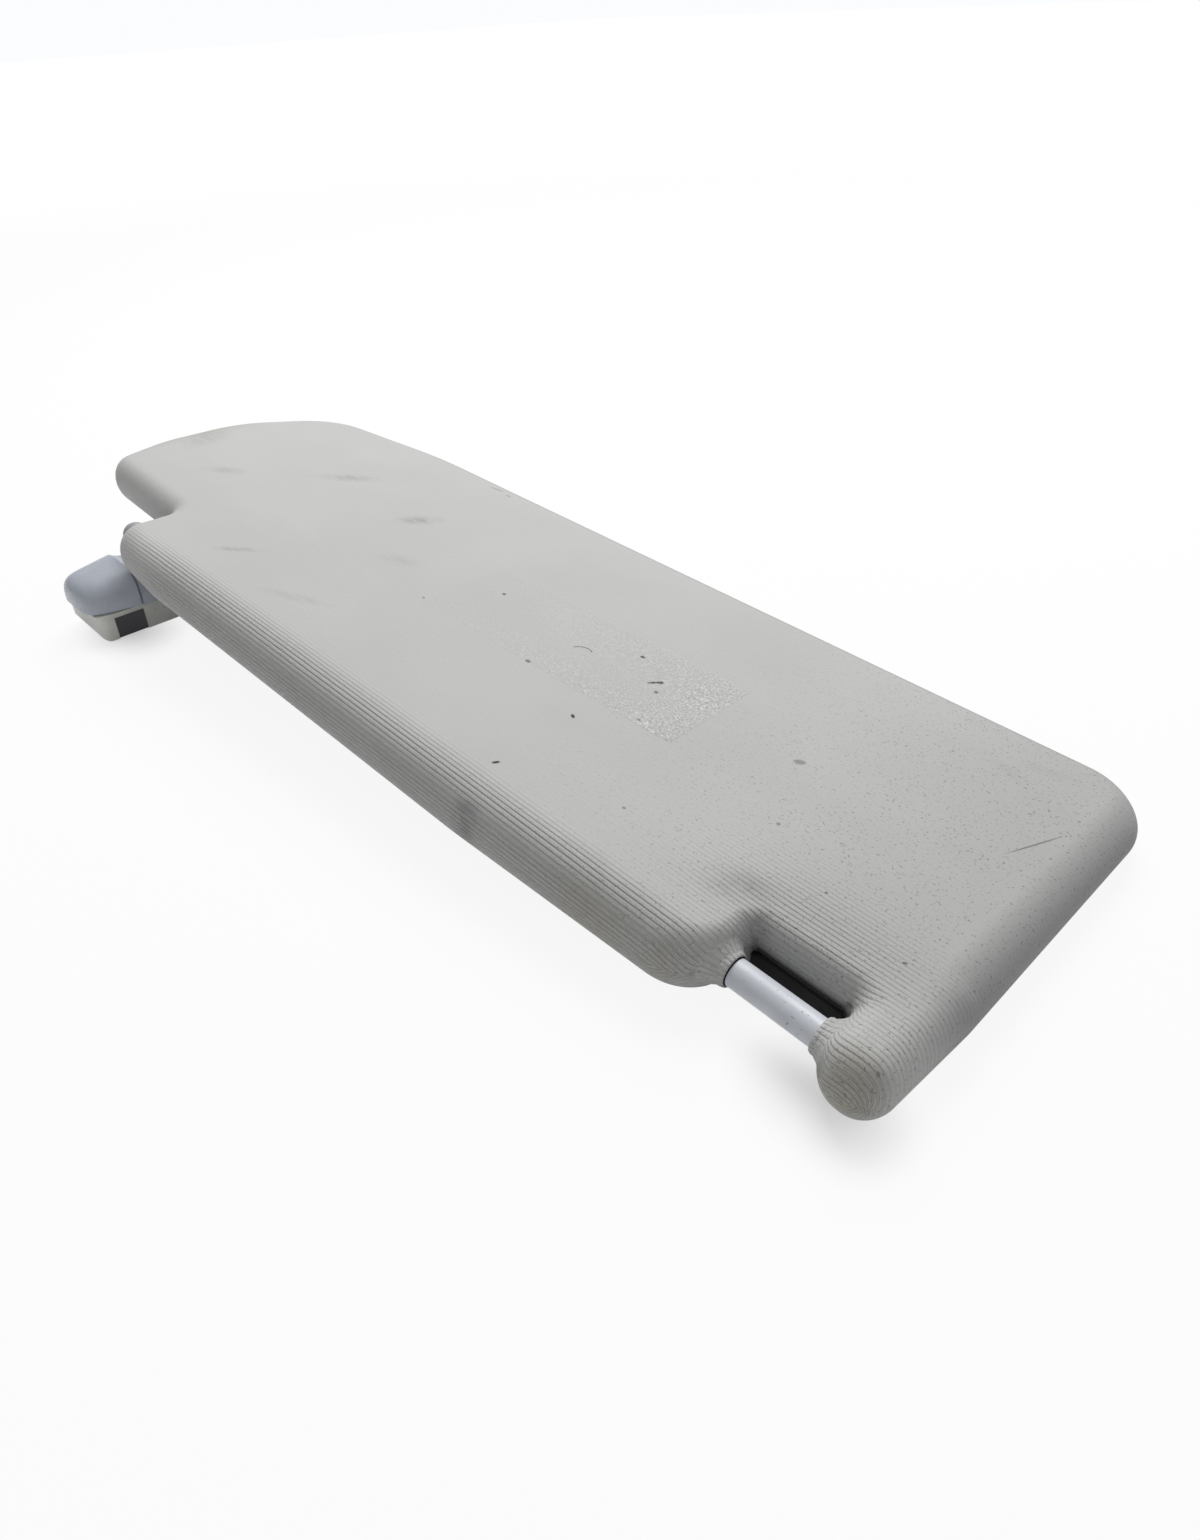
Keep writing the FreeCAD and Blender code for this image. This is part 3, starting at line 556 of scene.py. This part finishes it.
def cloth():
    """Ribbed warm grey knit with its smudges, stains, specks and glue residue, and painted shade in the rib
    grooves, in the dent over the bar's end, at the wing's end, towards the right end and along the far edge.
    """
    look = Shader("cover_cloth")
    here = look.place()
    split_place = look.node("ShaderNodeSeparateXYZ", Vector=here)
    upper = look.ramp(split_place.outputs[2], 0.029, 0.034)
    hinge_edge = look.ramp(split_place.outputs[1], -0.008, -0.012)
    shown = look.sums("MAXIMUM", upper, hinge_edge)

    def mark(place, size, turn, dark, soft=1.0):
        """A mark on the face and hinge edge that show, and none on the hidden face."""
        share = look.sums("MULTIPLY", shown, dark)
        return look.sums("MULTIPLY", look.spot(here, place, size, turn, soft), share)

    weave = look.node("ShaderNodeUVMap")
    weave.uv_map = "weave"
    split = look.node("ShaderNodeSeparateXYZ", Vector=weave.outputs[0])
    depth = look.node("ShaderNodeAttribute")
    depth.attribute_name = "rib_depth"
    wander = look.noise(look.mapped(here, size=(90, 14, 14)), 1.0, 2.0)
    wander = look.sums("MULTIPLY", wander, 0.45)
    rib_place = look.sums("MULTIPLY_ADD", split.outputs[1], WEAVE_UNIT / RIB_PITCH, wander)
    wave = look.sums("SINE", look.sums("MULTIPLY", rib_place, 2 * math.pi))
    groove = look.ramp(wave, -1.0, 0.35)
    stitch = look.noise(look.mapped(here, size=(1.5, 0.5, 0.5)), 1.0, 2.0, 0.6)
    pile = look.noise(look.mapped(here, size=(0.42, 0.36, 0.36)), 1.0, 3.0, 0.65)
    rib_mask = look.sums("MULTIPLY", depth.outputs["Fac"], look.ramp(stitch, 0.25, 0.5, 0.55, 1.0))
    strand = look.sums("MULTIPLY_ADD", split.outputs[0], WEAVE_UNIT / STRAND_PITCH, rib_place)
    strand = look.ramp(look.sums("SINE", look.sums("MULTIPLY", strand, 2 * math.pi)), -1.0, 0.3, 0.72, 1.0)
    rib_height = look.sums("MULTIPLY", look.sums("MULTIPLY", groove, strand), rib_mask)
    grain = look.bump(pile, 0.35, 0.08 * MM)
    soft = look.bump(look.noise(look.mapped(here, size=(2.4, 1.4, 2)), 1.0, 2.0), 0.25, 0.3 * MM, grain)
    normal = look.bump(rib_height, 1.0, 0.42 * MM, soft)
    cloud = look.noise(look.mapped(here, size=(60, 40, 40)), 1.0, 3.0)
    base = look.mix(look.ramp(cloud, 0.35, 0.68), (0.560, 0.557, 0.540, 1), (0.580, 0.579, 0.563, 1))
    # Rib grooves darkened in colour: painted shade in the grooves.
    groove_shade = look.sums("MULTIPLY", look.sums("SUBTRACT", 1.0, groove), depth.outputs["Fac"])
    base = look.mix(look.sums("MULTIPLY", groove_shade, 0.22), base, (0.20, 0.195, 0.185, 1))
    speckle = look.ramp(pile, 0.60, 0.74)
    base = look.mix(look.sums("MULTIPLY", speckle, 0.12), base, (0.30, 0.30, 0.29, 1))
    smear = look.noise(look.mapped(here, size=(9, 3, 5)), 1.0, 3.0, 0.6)
    smudges_and_dent_shade = (
        ((-15.6, 53.1), (14, 6), 35, 0.28),
        ((28, 92), (20, 6), 40, 0.28),
        ((87, 89), (14, 6), 48, 0.40),
        ((62, 16), (15, 3), 42, 0.34),
        ((113, 12.5), (24, 4), 22, 0.18),
        ((113, 60), (14, 6), 20, 0.16),
        ((-58, 66), (12, 22), 15, 0.22),
        ((361, 127), (14, 4), 10, 0.10),
        ((352, 118), (10, 4), -15, 0.12),
        # These two lie in the dent over the bar's left end: partly dirt, partly painted shade that deepens
        # the dent.
        ((326, 17), (15, 9), 25, 0.34),
        ((337, 12), (9, 5), 20, 0.40),
        ((300, -6), (30, 7), 0, 0.10),
        ((248, -16), (8, 5), 0, 0.50),
    )
    for place, size, turn, dark in smudges_and_dent_shade:
        mask = look.sums("MULTIPLY", mark(place, size, turn, dark), look.ramp(smear, 0.35, 0.6, 0.3, 1.0))
        base = look.mix(mask, base, (0.20, 0.20, 0.195, 1))
    for place, size, turn, dark in (
        ((243.5, 71.6), (3.3, 0.75), 52, 0.95),
        ((245.0, 73.2), (1.3, 1.1), 40, 0.95),
        ((247.9, 67.7), (1.1, 0.9), 0, 0.8),
        ((239.4, 36.9), (1.5, 0.8), -30, 0.95),
        ((241.5, 2.4), (1.7, 0.8), 60, 0.95),
        ((162.0, 73.6), (1.1, 0.9), 0, 0.85),
        ((144.0, 48.5), (1.0, 0.7), 0, 0.5),
        ((204.6, 48.2), (1.5, 1.0), 0, 0.7),
        ((229.5, 80.7), (1.4, 1.0), 0, 0.85),
        ((255.4, 51.4), (1.0, 0.9), 0, 0.8),
        ((304.5, 72.6), (2.6, 1.6), 30, 0.45),
        ((283.0, 16.0), (0.9, 0.7), 0, 0.5),
        ((318.0, 44.0), (0.9, 0.8), 0, 0.5),
        ((83.0, 137.0), (5.5, 0.7), 10, 0.30),
        ((92.0, 136.0), (2.0, 0.8), 0, 0.30),
        ((373.5, 91.5), (13.0, 0.40), 68, 0.55),
        ((385, -6), (0.7, 0.6), 0, 0.5),
        ((372, 25), (0.9, 0.6), 30, 0.7),
        ((344, 31), (0.7, 0.6), 0, 0.6),
    ):
        base = look.mix(mark(place, size, turn, dark, 0.5), base, (0.045, 0.043, 0.040, 1))
    curl = look.node("ShaderNodeVectorMath", i0=look.mapped(here, (212.85, 65.0, 0), 0, (1, 1, 1e6)))
    curl.operation = "LENGTH"
    hair = look.ramp(look.sums("ABSOLUTE", look.sums("SUBTRACT", curl.outputs["Value"], 4.95)), 0.42, 0.15)
    hair = look.sums("MULTIPLY", hair, mark((211.3, 69.2), (5.0, 3.0), 20, 0.75, 0.3))
    base = look.mix(hair, base, (0.10, 0.095, 0.09, 1))
    for place, size, turn, share in (((381, -12), (13, 12), 0, 0.45), ((300, -15), (26, 7), 0, 0.22),
                                     ((326, -13), (9, 6), 0, 0.22)):
        base = look.mix(mark(place, size, turn, share), base, (0.36, 0.31, 0.20, 1))
    patch = look.mapped(here, (207.5, 69.0, 0), 1.5, (63, 21.5, 1e6))
    sides = look.node("ShaderNodeSeparateXYZ", Vector=patch)
    ends = look.ramp(look.sums("ABSOLUTE", sides.outputs[0]), 1.0, 0.985)
    flank = look.ramp(look.sums("ABSOLUTE", sides.outputs[1]), 1.0, 0.96)
    inside = look.sums("MULTIPLY", look.sums("MULTIPLY", ends, flank), shown)
    crowd = look.ramp(sides.outputs[0], -0.9, 1.0, 0.22, 1.0)
    ending = look.ramp(sides.outputs[0], 0.4, 0.85)
    outer = look.ramp(look.sums("ABSOLUTE", sides.outputs[1]), 0.3, 1.0, 0.5, 0.8)
    rim = look.sums("MAXIMUM", ending, outer)
    fleck = look.noise(look.mapped(here, size=(0.7, 0.62, 0.7)), 1.0, 2.0, 0.7)
    glue = look.sums("MULTIPLY", inside, look.sums("MULTIPLY", crowd, rim))
    light = look.sums("MULTIPLY", glue, look.ramp(fleck, 0.55, 0.64))
    dark = look.sums("MULTIPLY", glue, look.ramp(fleck, 0.44, 0.36))
    base = look.mix(look.sums("MULTIPLY", inside, 0.05), base, (0.42, 0.42, 0.42, 1))
    base = look.mix(look.sums("MULTIPLY", light, 0.7), base, (0.86, 0.86, 0.87, 1))
    base = look.mix(look.sums("MULTIPLY", dark, 0.5), base, (0.22, 0.22, 0.215, 1))
    lint = look.noise(look.mapped(here, size=(0.9, 0.8, 0.8)), 1.0, 2.0, 0.6)
    worn = look.sums("MULTIPLY", shown, look.ramp(split_place.outputs[0], 0.20, 0.375, 0.0, 0.62))
    base = look.mix(look.sums("MULTIPLY", worn, look.ramp(lint, 0.60, 0.70)), base, (0.13, 0.128, 0.125, 1))
    # Darker towards the right end and over its rolled edge: painted shade.
    beyond = look.ramp(split_place.outputs[1], 0.004, 0.03)
    right_end_fade = look.ramp(split_place.outputs[0], 0.30, 0.392, 0.0, 0.15)
    edge = look.ramp(split_place.outputs[0], 0.372, 0.3915, 0.0, 0.50)
    right_end_shade = look.sums("MULTIPLY", beyond, look.sums("MAXIMUM", right_end_fade, edge))
    base = look.mix(right_end_shade, base, (0.17, 0.165, 0.175, 1))
    # The wing's end darkened: painted shade.
    wing_end_shade = look.ramp(split_place.outputs[0], -0.058, -0.0735, 0.0, 0.30)
    base = look.mix(wing_end_shade, base, (0.20, 0.18, 0.15, 1))
    # A dark line along the far edge's roll where it turns away: painted shade.
    far = look.node("ShaderNodeAttribute")
    far.attribute_name = "far_edge_shade"
    base = look.mix(look.sums("MULTIPLY", far.outputs["Fac"], 0.6), base, (0.17, 0.17, 0.175, 1))
    pit = look.node("ShaderNodeAttribute")
    pit.attribute_name = "slot_pit"
    base = look.mix(pit.outputs["Fac"], base, (0.010, 0.009, 0.009, 1))
    rough = look.sums("SUBTRACT", 0.93, look.sums("MULTIPLY", light, 0.55))
    normal = look.bump(look.sums("MULTIPLY", fleck, glue), 0.5, 0.35 * MM, normal)
    look.skin.inputs["Sheen Weight"].default_value = 0.12
    look.skin.inputs["Sheen Roughness"].default_value = 0.5
    return look.finish(base, rough, normal, 0.25)


def plastic(name, color, shade, rough, grain_size, grain, dirt, specular):
    """Moulded plastic: fine grain, faint clouds of colour and specks of dirt."""
    look = Shader(name)
    here = look.place()
    cloud = look.noise(look.mapped(here, size=(9, 9, 9)), 1.0, 3.0)
    tint = look.mix(look.ramp(cloud, 0.35, 0.7), (*color, 1), (*shade, 1))
    speck = look.noise(look.mapped(here, size=(1.1, 1.1, 1.1)), 1.0, 2.0, 0.6)
    tint = look.mix(look.sums("MULTIPLY", look.ramp(speck, 0.66, 0.74), dirt), tint, (0.06, 0.06, 0.065, 1))
    pebble = look.noise(look.mapped(here, size=(grain_size,) * 3), 1.0, 2.0, 0.6)
    shine = look.ramp(cloud, 0.3, 0.7, rough - 0.05, rough + 0.07)
    return look.finish(tint, shine, look.bump(pebble, grain, 0.1 * MM), specular)


def steel(name, color, rough):
    """Drawn or sprung steel: fine lines along the piece and a slight stain."""
    look = Shader(name)
    here = look.place()
    lines = look.noise(look.mapped(here, size=(6, 0.25, 0.25)), 1.0, 3.0)
    stain = look.noise(look.mapped(here, size=(5, 5, 5)), 1.0, 3.0)
    tint = look.mix(look.ramp(stain, 0.45, 0.75, 0.0, 0.5), (*color, 1), (0.20, 0.17, 0.14, 1))
    look.skin.inputs["Metallic"].default_value = 1.0
    shine = look.ramp(lines, 0.3, 0.7, rough, rough + 0.15)
    return look.finish(tint, shine, look.bump(lines, 0.2, 0.05 * MM))


def foam():
    """Moulded bead foam: round cells pressed together."""
    look = Shader("core_foam")
    here = look.place()
    cells = look.node("ShaderNodeTexVoronoi", Vector=look.mapped(here, size=(3.5,) * 3), Scale=1.0)
    edge = look.ramp(cells.outputs["Distance"], 0.3, 0.75)
    tint = look.mix(edge, (0.80, 0.79, 0.75, 1), (0.64, 0.63, 0.58, 1))
    return look.finish(tint, look.ramp(edge, 0, 1, 0.8, 0.95), look.bump(edge, 0.5, -0.3 * MM), 0.3)


# Each plastic: colour, its second shade, roughness, grain size, grain, dirt and gloss

PLASTICS = {
    "base_plastic": ((0.80, 0.80, 0.75), (0.70, 0.70, 0.65), 0.5, 0.5, 0.2, 0.3, 0.5),
    "cap_plastic": ((0.50, 0.53, 0.59), (0.455, 0.485, 0.545), 0.30, 0.35, 0.10, 0.08, 0.5),
    "sheath_plastic": ((0.40, 0.41, 0.43), (0.35, 0.36, 0.375), 0.42, 0.5, 0.1, 0.2, 0.5),
    "bar_plastic": ((0.70, 0.725, 0.77), (0.64, 0.665, 0.71), 0.34, 0.4, 0.12, 0.5, 0.5),
    "black_plastic": ((0.018, 0.019, 0.023), (0.026, 0.027, 0.032), 0.4, 0.5, 0.15, 0.0, 0.5),
    "block_plastic": ((0.005, 0.005, 0.006), (0.009, 0.009, 0.010), 0.75, 0.5, 0.15, 0.1, 0.2),
    "bush_plastic": ((0.75, 0.72, 0.62), (0.70, 0.67, 0.57), 0.4, 0.5, 0.1, 0.1, 0.5),
}

MATERIALS = {
    "cover_cloth": cloth(),
    "core_foam": foam(),
    "rod_steel": steel("rod_steel", (0.55, 0.55, 0.55), 0.28),
    "spring_steel": steel("spring_steel", (0.33, 0.33, 0.36), 0.35),
}
for name, values in PLASTICS.items():
    MATERIALS[name] = plastic(name, *values)

for row in frame["record"]["subparts"]:
    node = frame["nodes"][row["node"]]
    node.data.materials.clear()
    node.data.materials.append(MATERIALS[row["material_slot"]])


def dressed(made, body, slot, *nodes):
    """Rides a piece on its body and hides the nodes it stands for. Its slot is not used."""
    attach(made, body)
    if nodes:
        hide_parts(*nodes)
    return made


# Visor pieces

cover = dressed(visor_cover(MATERIALS["cover_cloth"]), "visor", "cover_cloth", "cover")


def turned_rings(places, radii, around=64, height=AXIS):
    """Rings round the hinge axis, one for each place along it and its radius."""
    swing = np.linspace(0, 2 * np.pi, around, endpoint=False)
    places, radii = np.asarray(places)[:, None], np.asarray(radii)[:, None]
    return np.stack(
        [places + 0 * swing, radii * np.cos(swing), height + radii * np.sin(swing)],
        axis=-1,
    )


def neck_rings(wall, inward, spread, mouth):
    """Rings of a sleeve drawn from a slot wall on to the bar. For each angle its
    profile is a Hermite curve from the wall, along the wall's own slope, to the
    mouth, along the bar."""
    swing = np.linspace(0, 2 * np.pi, 72, endpoint=False)
    far_side, near_side = np.clip(np.cos(swing), 0, 1) ** 2, np.clip(-np.cos(swing), 0, 1) ** 2
    reach = spread[0] - spread[1] * far_side - spread[2] * near_side

    def wall_at(radius):
        along, rise = radius * np.cos(swing), np.abs(radius * np.sin(swing))
        outer = by_y(wall, along)[:, 0]
        depth = np.linspace(0, 16, 641)
        height = cover_heights(outer[:, None] + inward * depth, along[:, None] + 0 * depth)[0]
        return outer + inward * depth[np.minimum((height < rise[:, None]).sum(1), 640)]

    root, next_in = wall_at(reach), wall_at(reach - 0.8)
    slope = np.stack([next_in - root, np.full_like(root, -0.8)])
    slope *= 1.25 * (reach - NECK) / np.linalg.norm(slope, axis=0)
    run = np.linspace(0, 1, 28)[:, None]
    square, cube = run ** 2, run ** 3
    ease = (2 * cube - 3 * square + 1, cube - 2 * square + run, 3 * square - 2 * cube, cube - square)
    away = 1.3 * (mouth - root)
    place = ease[0] * (root + 0.2 * inward) + ease[1] * slope[0] + ease[2] * mouth + ease[3] * away
    radius = ease[0] * reach + ease[1] * slope[1] + ease[2] * NECK
    radius = radius + 0.12 * np.sin(run * 23) * np.clip(run * 2 - 0.9, 0, 1)
    level = np.zeros_like(place[:1])
    place = np.concatenate([place[:1] + 2.5 * inward, place, level + mouth - 0.1 * inward, level + mouth])
    radius = np.concatenate([radius[:1] - 0.6, radius, level + NECK - 0.45, level + BAR_RADIUS - 0.3])
    return np.stack([place, radius * np.cos(swing), AXIS + radius * np.sin(swing)], -1), swing


def bar_neck(name, wall, inward, spread, mouth):
    """A cloth sleeve on the bar, its ribs running along it."""
    rings, swing = neck_rings(wall, inward, spread, mouth)
    made = tube_piece(name, rings, MATERIALS["cover_cloth"])
    around = np.concatenate([np.tile(swing * 6.0, len(rings)), [0, 0]])
    place = np.zeros(len(made.data.vertices) * 3, np.float32)
    made.data.vertices.foreach_get("co", place)
    weave = np.stack([place[::3] * 10, around / WEAVE_UNIT], -1)
    corner = np.zeros(len(made.data.loops), np.int32)
    made.data.loops.foreach_get("vertex_index", corner)
    layer = made.data.uv_layers.new(name="weave")
    layer.data.foreach_set("uv", weave[corner].astype(np.float32).ravel())
    store(made, "rib_depth", np.full(len(around), 0.6))
    dressed(made, "visor", "cover_cloth")


line, mid = outline_line()
left_wall = stretch(line, mid[SHOULDER], mid[SLOT_LEFT])
right_wall = stretch(line, mid[SLOT_RIGHT], mid[KNOB_LEFT])
bar_neck("bar_neck_left", left_wall, -1, (9.4, 1.0, 0.3), SLOT_START + 2.6)
bar_neck("bar_neck_right", right_wall, 1, (9.0, 0.7, 1.4), SLOT_END - 2.5)


def slot_liner():
    """The dark moulded strip behind the bar that closes the slot's lower back: a
    five cornered section carried along the slot, its front bowed at both ends."""
    share = np.linspace(0, 1, 12)
    places = SLOT_START + 1.2 + (SLOT_END - SLOT_START - 2.2) * share
    front = SLOT_DEPTH - 0.3 - 1.2 * (1 - np.sqrt(1 - (2 * np.abs(share - 0.5)) ** 8 * 0.999))
    across, up = np.array([(0.3, 33.8), (0, 33.0), (0, 24.2), (2.4, 24.2), (2.4, 33.8)]).T
    places, front = places[:, None], front[:, None]
    rings = np.stack([places + 0 * across, front + across, 0 * places + up], -1)
    made = tube_piece("slot_liner", rings, MATERIALS["block_plastic"])
    made.data.polygons.foreach_set("use_smooth", [False] * len(made.data.polygons))
    dressed(made, "visor", "block_plastic")


slot_liner()
ring = turned_rings([SLOT_START + 2.2, SLOT_START + 2.9, SLOT_START + 3.0, SLOT_START + 3.0],
                    [4.62, 4.60, 4.4, 4.0], 48)
dressed(tube_piece("bar_end_shadow_ring", ring, MATERIALS["block_plastic"]), "visor", "block_plastic")


# Arm pieces


def knuckle():
    """The moulded elbow: a stem that swells to a ball, and a stub into the lobe."""
    ball = 5.8
    stem_radius = 5.25
    swell = np.arcsin(stem_radius / ball)
    angle = np.pi - swell + (swell - np.pi) * np.linspace(0, 1, 26)
    radius = ball * np.sin(angle)
    up = AXIS + ball * np.cos(angle)
    radius = np.concatenate([[3.9, 4.6, 4.9, 5.1], radius[:-1], [0.05]])
    up = np.concatenate([[21.35, 21.4, 21.8, 26.0], up[:-1], [AXIS + ball]])
    swing = np.linspace(0, 2 * np.pi, 48, endpoint=False)
    radius, up = radius[:, None], up[:, None]
    stem = np.stack([radius * np.cos(swing), radius * np.sin(swing), up + 0 * swing], -1)
    stub = turned_rings([0.5, 2.0, 8.0, 8.3], [4.0, 5.2, 5.2, 4.9], 48)
    dressed(tube_piece("elbow_knuckle", stem, MATERIALS["sheath_plastic"]), "arm", "sheath_plastic")
    dressed(tube_piece("elbow_stub", stub, MATERIALS["sheath_plastic"]), "arm", "sheath_plastic")


knuckle()

# Mount pieces


def arch(half_width, bottom, top, power=2.5, count=40):
    """An arch section as x and z: a superellipse above, a flat line below."""
    swing = np.linspace(0, np.pi, count)
    across = half_width * np.sign(np.cos(swing)) * np.abs(np.cos(swing)) ** (2 / power)
    rise = bottom + (top - bottom) * np.sin(swing) ** (2 / power)
    under = np.linspace(-half_width, half_width, 14)[1:-1]
    return np.concatenate([across, under]), np.concatenate([rise, np.full(12, bottom)])


def seam_place(rise):
    """The seam between cap and tower leans back as it rises."""
    return SEAM + 1.2 * (rise - CAP_FOOT) / CAP_RISE


def mount_cap():
    """The screw cap: arch sections that taper to a blunt round nose."""
    shares = np.concatenate([[0.0, 0.0], np.sin(np.linspace(0, np.pi / 2, 48)[1:])])
    rings = []
    for number, share in enumerate(shares):
        round_off = max(1 - share ** 9, 0.0) ** (1 / 2.6)
        half = (CAP_HALF - 4.8 * share) * round_off
        bottom = CAP_FOOT + 2.2 * (1 - round_off)
        top = bottom + (CAP_RISE - 2.6 * share) * round_off ** 0.9
        inset = 0.5 if number == 0 else 0.0
        across, rise = arch(max(half - inset, 0.05), bottom, max(top - inset, bottom + 0.05))
        along = seam_place(rise) * (1 - share) + (SEAM - CAP_LENGTH) * share
        rings.append(np.stack([across, along - (0.0 if number == 0 else 0.15), rise], -1))
    made = tube_piece("mount_cap", rings, MATERIALS["cap_plastic"])
    made.data.set_sharp_from_angle(angle=math.radians(42))
    dressed(made, "mount", "cap_plastic", "screw_cover_cap")


def mount_tower():
    """The swivel housing: the cap's arch carried back to a round end, its top cut
    by the cylinder that the visor's lobe sweeps, with a rabbet at the seam."""
    rows = [(0.0, 1.3, -1.2), (0.0, 1.3, 0.0), (0.0, 0.0, 0.0)]
    rows += [(share, 0.0, 0.0) for share in np.linspace(0, 1, 44)[1:]]
    rings = []
    for share, inset, ahead in rows:
        back = SEAM + (HOUSING_REACH - SEAM) * np.sin(share * np.pi / 2)
        half = HOUSING_REACH if back < 0 else math.sqrt(max(CAP_HALF ** 2 - back ** 2, 0.01))
        across, rise = arch(half - inset, CAP_FOOT - 0.5, CAP_FOOT + CAP_RISE - inset)
        along = seam_place(rise) + 0.9 + ahead + (back - SEAM) * (1 - (rise - CAP_FOOT) / 75.0)
        along = np.minimum(along, HOUSING_REACH)
        limit = AXIS - np.sqrt(np.clip(LOBE_SWEEP ** 2 - np.minimum(along, 0) ** 2, 0, None))
        limit = np.where(along < 0, limit, HOUSING_TOP)
        rings.append(np.stack([across, along, np.minimum(rise, limit)], -1))
    made = tube_piece("mount_tower", rings, MATERIALS["cap_plastic"])
    made.data.set_sharp_from_angle(angle=math.radians(42))
    dressed(made, "mount", "cap_plastic", "bearing_tower")


mount_cap()
mount_tower()


# Stage


def floor_material():
    """A pale floor that shows near white to the camera and keeps its shadows."""
    look = Shader("floor_paper")
    look.skin.inputs["Base Color"].default_value = (0.93, 0.93, 0.93, 1)
    look.skin.inputs["Roughness"].default_value = 0.9
    look.skin.inputs["Specular IOR Level"].default_value = 0.0
    path = look.node("ShaderNodeLightPath")
    seen = look.sums("ADD", path.outputs["Is Camera Ray"], path.outputs["Is Glossy Ray"])
    seen = look.sums("ADD", seen, path.outputs["Is Transmission Ray"])
    away = look.node("ShaderNodeVectorMath", i0=look.place())
    away.operation = "LENGTH"
    paper = look.ramp(away.outputs["Value"], 0.55, 1.6, 0.90, 1.0)
    # Less glow mixed in near the knob and the mount, so the floor shows darker there: partly the cast
    # shadow, partly painted contact shadow.
    for place, size in (((374, -8), (30, 22)), ((12, -18), (34, 26))):
        shade = look.sums("MULTIPLY", look.spot(look.place(), place, size), 0.42)
        paper = look.sums("SUBTRACT", paper, shade)
    share = look.sums("MULTIPLY", look.sums("MINIMUM", seen, 1.0), paper)
    glow = look.node("ShaderNodeEmission", Color=(1, 1, 1, 1), Strength=1.0)
    blend = look.node("ShaderNodeMixShader", Fac=share)
    look.tree.links.new(look.skin.outputs[0], blend.inputs[1])
    look.tree.links.new(glow.outputs[0], blend.inputs[2])
    look.tree.links.new(blend.outputs[0], look.tree.nodes["Material Output"].inputs["Surface"])
    return look.material


def studio_floor():
    """One wide flat sheet under the points that the visor rests on."""
    base, knob, corner = (16.0, -5.0, 0.0), (380.0, -6.0, 24.2), (378.0, 134.0, 27.2)
    first = np.subtract(knob, base)
    second = np.subtract(corner, base)
    normal = np.cross(first, second)
    normal /= np.linalg.norm(normal)
    reach = 9000.0
    places = []
    for across, along in ((-reach, -reach), (reach, -reach), (reach, reach), (-reach, reach)):
        up = base[2] - (normal[0] * (across - base[0]) + normal[1] * (along - base[1])) / normal[2]
        places.append((across, along, up - 0.2))
    floor = piece("studio_floor", places, [(0, 1, 2, 3)], floor_material(), smooth=False)


def soft_lamp(name, place, target, size, power):
    """A wide square lamp that looks at a point."""
    data = bpy.data.lights.new(name, "AREA")
    data.shape = "SQUARE"
    data.size = size
    data.energy = power
    lamp = bpy.data.objects.new(name, data)
    bpy.context.scene.collection.objects.link(lamp)
    away = np.subtract(place, target)
    away = away / np.linalg.norm(away)
    side = np.cross((0, 0, 1), away)
    side /= np.linalg.norm(side)
    upward = np.cross(away, side)
    rows = [[side[k], upward[k], away[k], place[k]] for k in range(3)]
    lamp.matrix_world = Matrix(rows + [[0, 0, 0, 1]])


def studio_world():
    """White to the camera alone, and a soft even light on everything else."""
    world = bpy.data.worlds.new("studio_world")
    bpy.context.scene.world = world
    world.use_nodes = True
    tree = world.node_tree
    shade = tree.nodes["Background"]
    shade.inputs["Color"].default_value = (0.97, 0.98, 1.0, 1)
    path = tree.nodes.new("ShaderNodeLightPath")
    pick = tree.nodes.new("ShaderNodeMapRange")
    tree.links.new(path.outputs["Is Camera Ray"], pick.inputs["Value"])
    pick.inputs["To Min"].default_value = 0.32
    pick.inputs["To Max"].default_value = 1.0
    tree.links.new(pick.outputs[0], shade.inputs["Strength"])


bpy.context.scene.view_settings.view_transform = "Standard"
studio_floor()
studio_world()
middle = (0.16, 0.07, 0.04)
soft_lamp("key_lamp", (-0.30, 0.70, 1.1), middle, 0.9, 16.0)
